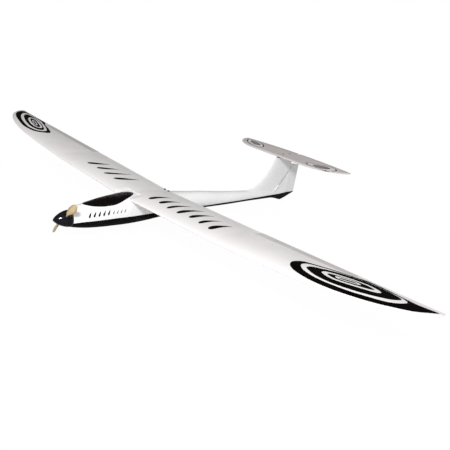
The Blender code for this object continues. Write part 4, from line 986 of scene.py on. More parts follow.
def decal(name, loops, mat, surface, body, grid=0.004, high=0.00010, low=-0.00008):
    """A thin vinyl sheet cut to plan loops (even-odd, so inner loops are holes) and laid on a surface."""
    flat = np.array([p for loop in loops for p in loop], float)
    lo, hi = flat.min(0), flat.max(0)
    gx, gy = np.meshgrid(np.arange(lo[0] + grid / 2, hi[0], grid), np.arange(lo[1] + grid / 2, hi[1], grid))
    inner = np.stack([gx.ravel(), gy.ravel()], 1)
    if len(inner):
        inner = inner[inside_all(inner, loops) & ~near_loops(inner, loops, grid * 0.35)]
    coords, edges = [], []
    for loop in loops:
        base = len(coords)
        coords += [Vector(p) for p in loop]
        edges += [(base + i, base + (i + 1) % len(loop)) for i in range(len(loop))]
    coords += [Vector(p) for p in inner]
    v2, _, tris, _, _, _ = delaunay_2d_cdt(coords, edges, [], 0, 1e-7)
    v2 = np.array([tuple(p) for p in v2])
    tris = np.array([t for t in tris if len(t) == 3])
    tris = tris[inside_all(v2[tris].mean(1), loops)]
    a, b, c = v2[tris[:, 0]], v2[tris[:, 1]], v2[tris[:, 2]]
    area = (b[:, 0] - a[:, 0]) * (c[:, 1] - a[:, 1]) - (b[:, 1] - a[:, 1]) * (c[:, 0] - a[:, 0])
    tris = tris[np.abs(area) > 1e-12]
    used = np.unique(tris)
    back = {int(v): i for i, v in enumerate(used)}
    top = [surface(*v2[v], high) for v in used]
    bottom = [surface(*v2[v], low) for v in used]
    n = len(used)
    faces, seen = [], {}
    for t in tris:
        t = [back[int(v)] for v in t]
        faces.append(tuple(t))
        faces.append((t[2] + n, t[1] + n, t[0] + n))
        for e in ((t[0], t[1]), (t[1], t[2]), (t[2], t[0])):
            key = (min(e), max(e))
            seen[key] = None if key in seen else e
    for e in seen.values():
        if e:
            faces.append((e[1], e[0], e[0] + n, e[1] + n))
    obj = object_of(name, mesh_from(name, top + bottom, faces, 0), mat, True, 40)
    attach(obj, body)
    return obj


HINGE = []
for x in (AIL_X0, AIL_X1):
    p, q = Vector(wing_point(x, 1 - AIL_CHORD, 1)), Vector(wing_point(x, 1 - AIL_CHORD, -1))
    HINGE.append(((p + q) / 2, (p - q).length / 2))

for tag, s in (("port", 1), ("starboard", -1)):
    def m3(p):
        return (s * p[0], p[1], p[2])

    xs = [GAP / 2] + steps(0.02, BREAK_X - 0.02, 0.02) + [BREAK_X - 0.01, BREAK_X - GAP / 2]
    centre = loft(f"centre_panel_{tag}", [side_mirror(fine_ring(x), s) for x in xs], FILM, sharp=40)
    lo_x, hi_x = (-0.01, NOTCH_X + GAP * 1.3) if s > 0 else (-NOTCH_X - GAP * 1.3, 0.01)
    carve(centre, [cutter_box((lo_x, -0.25, -0.05), (hi_x, DECK_END + GAP * 1.3, 0.05))], sharp=40)
    stands_for(centre, f"wing_centre_panel_{tag}")

    xs = [BREAK_X + GAP / 2, 0.4275, AIL_X0] + steps(0.45, 0.80, 0.0125) + steps(0.80, 0.93, 0.0085) + steps(0.93, 0.986, 0.0045) + [0.986, 0.989, 0.992, 0.9945, 0.9965, 0.9985]
    tip = loft(f"tip_panel_{tag}", [side_mirror(fine_ring(x), s) for x in xs], FILM, sharp=40)
    (p0, r0), (p1, r1) = HINGE
    along = (p1 - p0).normalized()
    a0, a1 = p0 - along * GAP, p1 + along * GAP
    bay = [(s * x, y) for x, y in [(a0.x, a0.y - r0 - GAP), (a1.x, a1.y - r1 - GAP), (a1.x, 0.05), (a0.x, 0.05)]]
    gx = 0.560
    skin_z = wing_point(gx, 0.42, -1)[2]
    lo, hi = m3((gx - 0.006, -0.1240, skin_z - 0.0045)), m3((gx + 0.006, -0.1000, skin_z + 0.0100))
    pocket = cutter_box((min(lo[0], hi[0]) - GAP, lo[1] - GAP, skin_z - 0.02), (max(lo[0], hi[0]) + GAP, hi[1] + GAP, skin_z + 0.0030))
    carve(tip, [cutter_prism(bay, -0.05, 0.12), pocket], sharp=40)
    stands_for(tip, f"wing_tip_panel_{tag}")

    rings = []
    for k in range(41):
        u = k / 40
        c, r = p0.lerp(p1, u), (r0 + (r1 - r0) * u) - 0.0001
        c = c + along * ((GAP if k == 0 else 0) - (GAP if k == 40 else 0))
        te = Vector(wing_point(c.x, 1.0, 1))
        slope = math.atan2(te.z - c.z, te.y - c.y)
        ring = [wing_point(c.x, q, 1) for q in (1.0, 0.985, 0.96, 0.93, 0.90, 0.87, 0.845)]
        for i in range(17):
            q = math.radians(90 + 180 * i / 16) + slope
            ring.append((c.x, c.y + r * math.cos(q), c.z + r * math.sin(q)))
        ring += [wing_point(c.x, q, -1) for q in (0.845, 0.87, 0.90, 0.93, 0.96, 0.985, 1.0)]
        rings.append([m3(p) for p in ring])
    # the aileron skin takes the grey film that paints its shade
    aileron = loft(f"aileron_{tag}_skin", rings, AILERON_FILM_PAINTED_SHADE, sharp=40)
    stands_for(aileron, f"aileron_{tag}")

# ---------------------------------------------------------------- tail surfaces
rings = []
for k in range(31):
    z = RUD_BOTTOM + (0.0925 - RUD_BOTTOM) * k / 30
    ring = [(0.0008, RUD_TE - 0.0003), (0.0003, RUD_TE)]
    ring = [(-0.0003, RUD_TE), (0.0003, RUD_TE), (0.0008, RUD_TE - 0.0004)]
    ring += [(0.0008 + (RUD_NOSE - 0.0008) * ((RUD_TE - 0.0004 - y) / (RUD_TE - 0.0004 - RUD_HINGE)), y) for y in (0.664, 0.650, 0.636, 0.626)]
    ring += [(RUD_NOSE * math.cos(q), RUD_HINGE + RUD_NOSE * math.sin(q)) for q in (math.radians(-180 * i / 18) for i in range(19))]
    ring += [(-(0.0008 + (RUD_NOSE - 0.0008) * ((RUD_TE - 0.0004 - y) / (RUD_TE - 0.0004 - RUD_HINGE))), y) for y in (0.626, 0.636, 0.650, 0.664)]
    ring += [(-0.0008, RUD_TE - 0.0004)]
    rings.append([(x, y, z) for x, y in ring])
rudder = loft("rudder_skin", rings, RUD_GEL, sharp=40)
carve(rudder, [cutter_prism([(0.6230, 0.1100), (0.6230, 0.0680), (0.6270, 0.0650), (0.6900, 0.0590), (0.6900, 0.1100)], -0.02, 0.02, "X"),
               cutter_rod((0, RUD_HINGE, -0.070), (0, RUD_HINGE, -0.0480), 0.0013), cutter_rod((0, RUD_HINGE, 0.0850), (0, RUD_HINGE, 0.100), 0.0013)], sharp=40)
stands_for(rudder, "rudder")


def stab_le(x):
    v = max(0.0, (abs(x) - 0.13) / (STAB_HALF - 0.13))
    return 0.520 + 0.125 * (1 - max(0.0, 1 - v**1.9) ** 0.55)


def stab_te(x):
    return 0.672 - 0.027 * (abs(x) / STAB_HALF) ** 2.2


def stab_height(x, y):
    le, te = stab_le(x), stab_te(x)
    thick = STAB_T / 2 * (1 - 0.35 * (abs(x) / STAB_HALF) ** 3)
    h = thick * math.sqrt(max(0.0, 1 - (1 - min(max(y - le, 0.0) / 0.010, 1.0)) ** 2))
    if y > ELEV_HINGE:
        h *= 1 - 0.72 * min(1.0, (y - ELEV_HINGE) / max(te - ELEV_HINGE, 1e-4))
    return min(h, thick)


def stab_ring(x, n=40):
    le, te = stab_le(x), stab_te(x)
    c = max(te - le, 0.002)
    side = [(le + c * (k / n) ** 1.9, 0) for k in range(n + 1)]
    side = [(y, stab_height(x, y)) for y, _ in side]
    return [(x, y, STAB_Z + h) for y, h in side] + [(x, y, STAB_Z - h) for y, h in reversed(side[1:])]


half_xs = steps(0.0, 0.13, 0.02) + steps(0.13, 0.22, 0.008) + steps(0.22, 0.262, 0.004) + [0.262, 0.265, 0.268, 0.2705, 0.2725, 0.2740, 0.2748]
stab_xs = [-x for x in reversed(half_xs[1:])] + half_xs
stab = loft("tailplane", [stab_ring(x) for x in stab_xs], TAIL_FILM, sharp=40)
carve(stab, [cutter_box((-ELEV_X - GAP * 2, ELEV_HINGE - ELEV_NOSE - GAP * 1.5, 0.08), (ELEV_X + GAP * 2, 0.70, 0.12)),
             cutter_rod((0, 0.5620, 0.0955), (0, 0.5620, 0.115), 0.0017), cutter_rod((0, 0.6030, 0.0955), (0, 0.6030, 0.115), 0.0017),
             cutter_rod((ELEV_X - 0.0074, ELEV_HINGE, STAB_Z), (ELEV_X + 0.0079, ELEV_HINGE, STAB_Z), 0.0013),
             cutter_rod((-ELEV_X + 0.0074, ELEV_HINGE, STAB_Z), (-ELEV_X - 0.0079, ELEV_HINGE, STAB_Z), 0.0013)], sharp=40)
stands_for(stab, "stabilizer")

rings = []
for k in range(49):
    x = -ELEV_X + 2 * ELEV_X * k / 48
    te = stab_te(x)
    fall = [(0.0008 + (ELEV_NOSE - 0.0008) * (1 - u), ELEV_HINGE + (te - ELEV_HINGE) * u) for u in (0.25, 0.5, 0.75, 0.96)]
    ring = [(x, te, STAB_Z - 0.0003), (x, te, STAB_Z + 0.0003)] + [(x, y, STAB_Z + h) for h, y in reversed(fall)]
    ring += [(x, ELEV_HINGE - ELEV_NOSE * math.sin(q), STAB_Z + ELEV_NOSE * math.cos(q)) for q in (math.radians(180 * i / 18) for i in range(19))]
    ring += [(x, y, STAB_Z - h) for h, y in fall]
    rings.append(ring)
elevator = loft("elevator_skin", rings, TAIL_FILM, sharp=40)
carve(elevator, [cutter_prism([(-0.0125, 0.690), (-0.0035, 0.6540), (0.0035, 0.6540), (0.0125, 0.690)], 0.08, 0.12),
                 cutter_rod((ELEV_X - 0.0074, ELEV_HINGE, STAB_Z), (ELEV_X + 0.0079, ELEV_HINGE, STAB_Z), 0.0013),
                 cutter_rod((-ELEV_X + 0.0074, ELEV_HINGE, STAB_Z), (-ELEV_X - 0.0079, ELEV_HINGE, STAB_Z), 0.0013)], sharp=40)
stands_for(elevator, "elevator")

# ---------------------------------------------------------------- decoration: plain nested drops, rings and tapered strokes
NEAR = {
    "outer": ([(0.9900, -0.0650), (0.9652, -0.0665), (0.9407, -0.0680), (0.9188, -0.0645), (0.8937, -0.0596), (0.8647, -0.0531), (0.8359, -0.0490), (0.8102, -0.0475),
               (0.7929, -0.0507), (0.7796, -0.0565), (0.7585, -0.0628), (0.7334, -0.0690), (0.7127, -0.0765), (0.6919, -0.0850), (0.6722, -0.0925), (0.6546, -0.1005), (0.6436, -0.1174), (0.6420, -0.1343),
               (0.6533, -0.1530), (0.6742, -0.1652), (0.6980, -0.1705), (0.7234, -0.1735), (0.7495, -0.1735), (0.7763, -0.1715), (0.8070, -0.1670), (0.8344, -0.1610), (0.8610, -0.1540),
               (0.8902, -0.1440), (0.9129, -0.1335), (0.9371, -0.1210), (0.9580, -0.1070), (0.9750, -0.0885), (0.9900, -0.0650)],),
    "w1o": ([(0.9240, -0.0800), (0.9135, -0.0715), (0.8937, -0.0650), (0.8600, -0.0590), (0.8250, -0.0570), (0.7900, -0.0610), (0.7453, -0.0715), (0.7167, -0.0817), (0.6975, -0.0910), (0.6783, -0.0995), (0.6682, -0.1081), (0.6645, -0.1203),
             (0.6705, -0.1329), (0.6885, -0.1470), (0.7128, -0.1540), (0.7366, -0.1570), (0.7645, -0.1565), (0.7955, -0.1530), (0.8246, -0.1480), (0.8503, -0.1405), (0.8795, -0.1309), (0.9019, -0.1203), (0.9170, -0.1060), (0.9250, -0.0900), (0.9240, -0.0800)],),
    "w1i": ([(0.9080, -0.0761), (0.8950, -0.0691), (0.8700, -0.0621), (0.8400, -0.0588), (0.8100, -0.0591), (0.7750, -0.0656), (0.7450, -0.0756), (0.7250, -0.0857), (0.7060, -0.0985), (0.6900, -0.1085), (0.6830, -0.1196), (0.6860, -0.1312),
             (0.7086, -0.1432), (0.7343, -0.1495), (0.7668, -0.1502), (0.7968, -0.1459), (0.8293, -0.1382), (0.8544, -0.1293), (0.8791, -0.1171), (0.8985, -0.1035), (0.9090, -0.0870), (0.9080, -0.0761)],),
    "w2o": ([(0.8640, -0.0880), (0.8531, -0.0810), (0.8333, -0.0755), (0.8142, -0.0755), (0.7900, -0.0800), (0.7650, -0.0870), (0.7416, -0.0950), (0.7265, -0.1030), (0.7205, -0.1110), (0.7239, -0.1210), (0.7420, -0.1290),
             (0.7600, -0.1305), (0.7754, -0.1290), (0.7941, -0.1245), (0.8166, -0.1180), (0.8346, -0.1120), (0.8523, -0.1055), (0.8637, -0.0965), (0.8640, -0.0880)],),
    "w2i": ([(0.8480, -0.0900), (0.8380, -0.0845), (0.8200, -0.0820), (0.8000, -0.0845), (0.7780, -0.0910), (0.7560, -0.0990), (0.7400, -0.1060), (0.7345, -0.1120), (0.7400, -0.1185), (0.7560, -0.1225),
             (0.7700, -0.1225), (0.7880, -0.1185), (0.8060, -0.1125), (0.8250, -0.1055), (0.8410, -0.0985), (0.8480, -0.0900)],),
    "c1o": ([(0.8160, -0.0960), (0.8050, -0.0905), (0.7900, -0.0915), (0.7700, -0.0985), (0.7570, -0.1055), (0.7550, -0.1110), (0.7640, -0.1155), (0.7790, -0.1140), (0.7960, -0.1080), (0.8100, -0.1020), (0.8160, -0.0960)],),
    "c1i": ([(0.8080, -0.0975), (0.7980, -0.0950), (0.7850, -0.0985), (0.7700, -0.1050), (0.7640, -0.1095), (0.7700, -0.1115), (0.7850, -0.1070), (0.8000, -0.1015), (0.8080, -0.0975)],),
}
FAR = {
    "outer": ([(-0.6523, -0.1185), (-0.6588, -0.0985), (-0.7160, -0.0785), (-0.7700, -0.0655), (-0.7900, -0.0560), (-0.8169, -0.0452), (-0.8489, -0.0455), (-0.8771, -0.0478), (-0.9041, -0.0500), (-0.9247, -0.0515), (-0.9500, -0.0535), (-0.9700, -0.0545), (-0.9820, -0.0560)],
              [(-0.9820, -0.0560), (-0.9830, -0.0680), (-0.9760, -0.0830), (-0.9660, -0.0960), (-0.9480, -0.1105), (-0.9207, -0.1250), (-0.8787, -0.1395), (-0.8388, -0.1490), (-0.7966, -0.1580), (-0.7603, -0.1625), (-0.7266, -0.1625), (-0.6999, -0.1590), (-0.6798, -0.1530), (-0.6640, -0.1400), (-0.6523, -0.1185)]),
    "w1o": ([(-0.6762, -0.1180), (-0.6850, -0.1020), (-0.7150, -0.0890), (-0.7500, -0.0775), (-0.7900, -0.0665), (-0.8300, -0.0570), (-0.8700, -0.0545), (-0.9100, -0.0555), (-0.9350, -0.0590), (-0.9480, -0.0680), (-0.9440, -0.0800), (-0.9300, -0.0930),
             (-0.9100, -0.1060), (-0.8850, -0.1180), (-0.8500, -0.1310), (-0.8150, -0.1400), (-0.7800, -0.1470), (-0.7468, -0.1510), (-0.7146, -0.1490), (-0.6900, -0.1410), (-0.6790, -0.1310), (-0.6762, -0.1180)],),
    "w1i": ([(-0.6905, -0.1185), (-0.7000, -0.1060), (-0.7250, -0.0950), (-0.7600, -0.0835), (-0.8000, -0.0725), (-0.8350, -0.0640), (-0.8700, -0.0610), (-0.9050, -0.0625), (-0.9220, -0.0680), (-0.9260, -0.0760), (-0.9160, -0.0880),
             (-0.8950, -0.1010), (-0.8650, -0.1130), (-0.8300, -0.1250), (-0.7973, -0.1330), (-0.7600, -0.1395), (-0.7300, -0.1400), (-0.7050, -0.1350), (-0.6930, -0.1270), (-0.6905, -0.1185)],),
    "w2o": ([(-0.7180, -0.1130), (-0.7260, -0.1010), (-0.7500, -0.0915), (-0.7800, -0.0825), (-0.8150, -0.0725), (-0.8450, -0.0680), (-0.8680, -0.0700), (-0.8780, -0.0790), (-0.8680, -0.0920), (-0.8450, -0.1050),
             (-0.8150, -0.1150), (-0.7850, -0.1230), (-0.7550, -0.1270), (-0.7300, -0.1240), (-0.7180, -0.1130)],),
    "w2i": ([(-0.7310, -0.1120), (-0.7380, -0.1035), (-0.7600, -0.0960), (-0.7900, -0.0870), (-0.8200, -0.0790), (-0.8450, -0.0755), (-0.8600, -0.0790), (-0.8590, -0.0880), (-0.8400, -0.0980),
             (-0.8100, -0.1075), (-0.7800, -0.1150), (-0.7550, -0.1190), (-0.7380, -0.1180), (-0.7310, -0.1120)],),
    "c1o": ([(-0.7560, -0.1080), (-0.7680, -0.1010), (-0.7950, -0.0930), (-0.8200, -0.0875), (-0.8330, -0.0885), (-0.8320, -0.0950), (-0.8100, -0.1025), (-0.7850, -0.1100), (-0.7660, -0.1130), (-0.7560, -0.1080)],),
    "c1i": ([(-0.7650, -0.1075), (-0.7750, -0.1030), (-0.7980, -0.0965), (-0.8180, -0.0920), (-0.8240, -0.0935), (-0.8080, -0.0995), (-0.7850, -0.1065), (-0.7700, -0.1090), (-0.7650, -0.1075)],),
}


def closed_loop(parts):
    pts = []
    for part in parts:
        if len(parts) == 1 and math.dist(part[0], part[-1]) < 1e-6:
            pts += catmull(part[:-1], 6, True)
        else:
            pts += catmull(part, 6)[:-1]
    return pts


for tag, drops in (("port", NEAR), ("starboard", FAR)):
    loops = {k: closed_loop(v) for k, v in drops.items()}
    body = BODY[f"wing_tip_panel_{tag}"]
    decal(f"tip_drop_black_{tag}", [loops[k] for k in ("outer", "w1o", "w1i", "w2o", "w2i", "c1o", "c1i")], VINYL, wing_top, body, 0.004)

STAB_RINGS = {
    "port": ([(0.1210, 0.5640), (0.1290, 0.5490), (0.1450, 0.5410), (0.1660, 0.5375), (0.1969, 0.5400), (0.2210, 0.5500), (0.2350, 0.5650), (0.2395, 0.5820), (0.2370, 0.6010),
              (0.2230, 0.6190), (0.2050, 0.6235), (0.1868, 0.6200), (0.1700, 0.6080), (0.1500, 0.5930), (0.1300, 0.5790)],
             [(0.1500, 0.5690), (0.1560, 0.5570), (0.1720, 0.5500), (0.1900, 0.5520), (0.2050, 0.5630), (0.2125, 0.5800), (0.2090, 0.5980), (0.1960, 0.6050), (0.1800, 0.5990), (0.1620, 0.5850)]),
    "starboard": ([(-0.1120, 0.5590), (-0.1150, 0.5440), (-0.1300, 0.5370), (-0.1550, 0.5400), (-0.1850, 0.5530), (-0.2150, 0.5720), (-0.2380, 0.5980), (-0.2460, 0.6170),
                   (-0.2420, 0.6240), (-0.2200, 0.6270), (-0.1900, 0.6240), (-0.1600, 0.6120), (-0.1350, 0.5930), (-0.1180, 0.5740)],
                  [(-0.1420, 0.5770), (-0.1450, 0.5650), (-0.1600, 0.5620), (-0.1850, 0.5720), (-0.2080, 0.5880), (-0.2200, 0.6040), (-0.2150, 0.6130), (-0.1980, 0.6110), (-0.1700, 0.6010), (-0.1500, 0.5880)]),
}


def shrink_loop(loop, d):
    """Loop drawn in by d along its normals (out, when negative)."""
    q = np.asarray(loop, float)
    t = np.roll(q, -1, axis=0) - np.roll(q, 1, axis=0)
    t /= np.maximum(np.linalg.norm(t, axis=1), 1e-9)[:, None]
    n = np.stack([t[:, 1], -t[:, 0]], 1)
    area = 0.5 * np.sum(q[:, 0] * np.roll(q[:, 1], -1) - np.roll(q[:, 0], -1) * q[:, 1])
    return [tuple(p) for p in q - n * d * (1 if area > 0 else -1)]


def stab_top(x, y, lift=0.0):
    return (x, y, STAB_Z + stab_height(x, y) + lift)


for tag, (outer, core) in STAB_RINGS.items():
    o = catmull(outer, 5, True)
    c = catmull(core, 5, True)
    body = BODY["stabilizer"]
    decal(f"tailplane_ring_black_{tag}", [o, shrink_loop(o, 0.0044)], VINYL, stab_top, body, 0.004)
    decal(f"tailplane_ring_white_{tag}", [shrink_loop(o, 0.0045), c], WHITE_VINYL, stab_top, body, 0.004, 0.00008)
    decal(f"tailplane_ring_core_{tag}", [shrink_loop(c, 0.0001), shrink_loop(c, 0.0030)], VINYL, stab_top, body, 0.004)
    decal(f"tailplane_ring_haze_{tag}", [shrink_loop(c, 0.0031)], HAZE, stab_top, body, 0.004, 0.00008)


def stroke(base, tip, width, bend, n=16, thin=0.0):
    """Leaf-shaped brush stroke from base to tip, fattest near its base."""
    b, t = Vector(base), Vector(tip)
    d = t - b
    nrm = Vector((-d.y, d.x)).normalized()
    left, right = [], []
    for k in range(n + 1):
        u = k / n
        c = b + d * u + nrm * (bend * math.sin(math.pi * u))
        w = width * (math.sin(math.pi * min(1.0, u ** 0.62)) ** 0.8 * (1 - 0.55 * u) + thin)
        left.append(c + nrm * w / 2)
        right.append(c - nrm * w / 2)
    pts = left[:-1] + [left[-1]] + list(reversed(right[1:-1]))
    return [tuple(p) for p in pts]


port_strokes = [stroke((0.080 + 0.0470 * k, -0.1500 + 0.005 * math.sin(k * 1.9)), (0.094 + 0.0470 * k, -0.0600 - 0.010 * math.sin(k * 1.3 + 0.6)), 0.0215 + 0.0030 * math.sin(k * 2.3), 0.006) for k in range(7)]
star_strokes = [stroke((-0.296 + 0.0560 * k, -0.1440 + 0.004 * math.sin(k * 2.1)), (-0.270 + 0.0560 * k, -0.0560 - 0.008 * math.sin(k * 1.7 + 0.9)), 0.0215 + 0.0025 * math.sin(k * 1.9 + 1), -0.005) for k in range(4)]
decal("stroke_row_port", port_strokes, INK, wing_top, BODY["wing_centre_panel_port"], 0.003)
decal("stroke_row_starboard", star_strokes, INK, wing_top, BODY["wing_centre_panel_starboard"], 0.003)


def side_surface(sgn):
    return lambda y, z, lift=0.0: (sgn * (hull_x(y, z) + lift), y, z)


for tag, sgn in (("port", 1), ("starboard", -1)):
    dark, pale = [], []
    for k in range(5):
        y = -0.322 + 0.0150 * k
        dark.append(stroke((y - 0.0030, -0.0500 + 0.0012 * k), (y + 0.0050, -0.0320 + 0.0012 * k), 0.0070, 0.0006, 10))
    for k in range(4):
        y = -0.246 + 0.0130 * k
        pale.append(stroke((y - 0.0024, -0.0430 + 0.0006 * k), (y + 0.0040, -0.0300 + 0.0006 * k), 0.0044, 0.0005, 10))
    decal(f"side_dashes_dark_{tag}", dark, INK, side_surface(sgn), BODY["fuselage_shell"], 0.003)
    decal(f"side_dashes_pale_{tag}", pale, INK_PALE, side_surface(sgn), BODY["fuselage_shell"], 0.003)

# ---------------------------------------------------------------- carried-over CAD nodes
CAD_MATS = {
    "propeller_yoke": ALU, "fold_pin_a": STEEL, "fold_pin_b": STEEL, "motor_shaft": STEEL, "motor": MOTOR, "firewall": PLY,
    "battery_tray": PLY, "battery_pack": WRAP, "speed_controller": WRAP_DARK, "wing_former": PLY, "servo_tray": PLY, "receiver": WRAP_DARK, "wing_bolt_plate": PLY,
    "elevator_servo": SERVO, "rudder_servo": SERVO, "elevator_servo_arm": NYLON, "rudder_servo_arm": NYLON, "rudder_pushrod": STEEL,
    "elevator_guide_sleeve": NYLON, "elevator_pushrod_front": STEEL, "elevator_pushrod_rear": STEEL, "pushrod_exit_fairing": RUD_GEL,
    "wing_bolt_port": DARK, "wing_bolt_starboard": DARK, "wing_joiner": CARBON, "tip_joiner_port": CARBON, "tip_joiner_starboard": CARBON,
    "aileron_servo_port": SERVO, "aileron_servo_starboard": SERVO, "aileron_servo_arm_port": NYLON, "aileron_servo_arm_starboard": NYLON,
    "aileron_pushrod_port": STEEL, "aileron_pushrod_starboard": STEEL, "aileron_horn_port": NYLON, "aileron_horn_starboard": NYLON,
    "rudder_horn": NYLON, "elevator_horn": NYLON, "rudder_pin_lower": STEEL, "rudder_pin_upper": STEEL, "elevator_pin_port": STEEL, "elevator_pin_starboard": STEEL,
    # the tailplane seat is given black nylon as a painted shadow: it stands for the shadow the stabiliser casts on the
    # fin
    "tailplane_seat": DARK, "tail_bolt_front": MOTOR, "tail_bolt_rear": MOTOR,
}
EDGED = {"tailplane_seat": 0.0004, "wing_former": 0.0003, "servo_tray": 0.0003, "battery_tray": 0.0003, "wing_bolt_plate": 0.0004, "rudder_horn": 0.0003, "elevator_horn": 0.0003,
         "aileron_horn_port": 0.0003, "aileron_horn_starboard": 0.0003, "firewall": 0.0003, "motor": 0.0004}
for name, material in CAD_MATS.items():
    node = NODES[name]
    for k in range(len(node.material_slots)):
        node.material_slots[k].material = material
    if not node.material_slots:
        node.data.materials.append(material)
    if name in EDGED:
        weld = node.modifiers.new("weld", "WELD")
        weld.merge_threshold = 0.00001
        bevel = node.modifiers.new("soft_edges", "BEVEL")
        bevel.width = EDGED[name]
        bevel.segments = 2
        bevel.limit_method = "ANGLE"
        bevel.angle_limit = math.radians(40)
        bevel.harden_normals = False

# ---------------------------------------------------------------- wiring and straps in the pod
def lead(name, points, radius, mat, body, strands=1, pitch=0.0):
    """A flexible lead, or a flat ribbon of several strands."""
    made = []
    for k in range(strands):
        c = bpy.data.curves.new(name, "CURVE")
        c.dimensions = "3D"
        c.bevel_depth = radius
        c.bevel_resolution = 3
        c.use_fill_caps = True
        c.resolution_u = 8
        s = c.splines.new("NURBS")
        s.points.add(len(points) - 1)
        for q, p in zip(s.points, points):
            q.co = (*put((p[0] + (k - (strands - 1) / 2) * pitch, p[1], p[2])), 1.0)
        s.order_u = 4
        s.use_endpoint_u = True
        c.materials.append(mat[k % len(mat)] if isinstance(mat, (list, tuple)) else mat)
        tmp = bpy.data.objects.new(name, c)
        scene.collection.objects.link(tmp)
        bpy.context.view_layer.update()
        mesh = bpy.data.meshes.new_from_object(tmp.evaluated_get(bpy.context.evaluated_depsgraph_get()))
        bpy.data.objects.remove(tmp, do_unlink=True)
        obj = object_of(name if strands == 1 else f"{name}_{k + 1}", mesh, mat[k % len(mat)] if isinstance(mat, (list, tuple)) else mat, True, 60)
        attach(obj, body)
        made.append(obj)
    return made


root = BODY["fuselage_shell"]
lead("battery_lead_red", [(0.0060, -0.2375, -0.0560), (0.0080, -0.2320, -0.0540), (0.0120, -0.2230, -0.0560), (0.0090, -0.2140, -0.0640), (0.0040, -0.2130, -0.0670)], 0.0014, RED_LEAD, root)
lead("battery_lead_black", [(-0.0060, -0.2375, -0.0560), (-0.0080, -0.2310, -0.0530), (-0.0110, -0.2210, -0.0560), (-0.0080, -0.2130, -0.0640), (-0.0040, -0.2120, -0.0670)], 0.0014, BLACK_LEAD, root)
for k, (x, mat) in enumerate(((-0.005, BLACK_LEAD), (0.0, RED_LEAD), (0.005, BLACK_LEAD))):
    lead(f"motor_lead_{k + 1}", [(x, -0.3235, -0.0600), (x * 1.5, -0.3180, -0.0580), (0.0215 + x * 0.3, -0.3080, -0.0700), (0.0225 + x * 0.2, -0.2700, -0.0740), (0.0210 + x * 0.2, -0.2400, -0.0740), (0.0100 + x * 0.5, -0.2345, -0.0735)], 0.0010, mat, root)
for tag, x in (("elevator", 0.019), ("rudder", -0.019)):
    lead(f"{tag}_servo_lead", [(x, -0.0915, -0.0600), (x, -0.0860, -0.0610), (x * 0.9, -0.0700, -0.0660), (x * 0.5, -0.0600, -0.0690), (x * 0.35, -0.0560, -0.0680)], 0.0005, [BROWN_LEAD, RED_LEAD, BLACK_LEAD], root, 3, 0.0010)
lead("throttle_lead", [(0.0040, -0.1955, -0.0730), (0.0060, -0.1850, -0.0740), (0.0100, -0.1400, -0.0740), (0.0080, -0.0900, -0.0730), (0.0040, -0.0600, -0.0690), (0.0030, -0.0562, -0.0680)], 0.0005, [BROWN_LEAD, RED_LEAD, BLACK_LEAD], root, 3, 0.0010)
lead("aerial", [(0.0080, -0.0198, -0.0660), (0.0100, -0.0120, -0.0650), (0.0080, 0.0300, -0.0700), (0.0040, 0.0900, -0.0700)], 0.0004, BLACK_LEAD, root)

# hook strap round the battery
rings = []
half_w, z0, z1, th = 0.0176, -0.0795, -0.0514, 0.0008
path = []
for cx, cz, a0 in ((half_w - 0.002, z1 - 0.002, 0), (-half_w + 0.002, z1 - 0.002, 90), (-half_w + 0.002, z0 + 0.002, 180), (half_w - 0.002, z0 + 0.002, 270)):
    for i in range(7):
        a = math.radians(a0 + 90 * i / 6)
        path.append((cx, cz, math.cos(a), math.sin(a)))
verts, faces = [], []
cross = [(-0.0075, 0.0), (-0.0075, th), (0.0075, th), (0.0075, 0.0)]
for cx, cz, ca, sa in path:
    for dy, h in cross:
        verts.append((cx + (0.002 + h) * ca, -0.2730 + dy, cz + (0.002 + h) * sa))
n = len(path)
for k in range(n):
    for i in range(4):
        a, b = k * 4 + i, k * 4 + (i + 1) % 4
        c, d = ((k + 1) % n) * 4 + (i + 1) % 4, ((k + 1) % n) * 4 + i
        faces.append((a, b, c, d))
strap = object_of("battery_strap", mesh_from("battery_strap", verts, faces), STRAP, True, 40)
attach(strap, root)

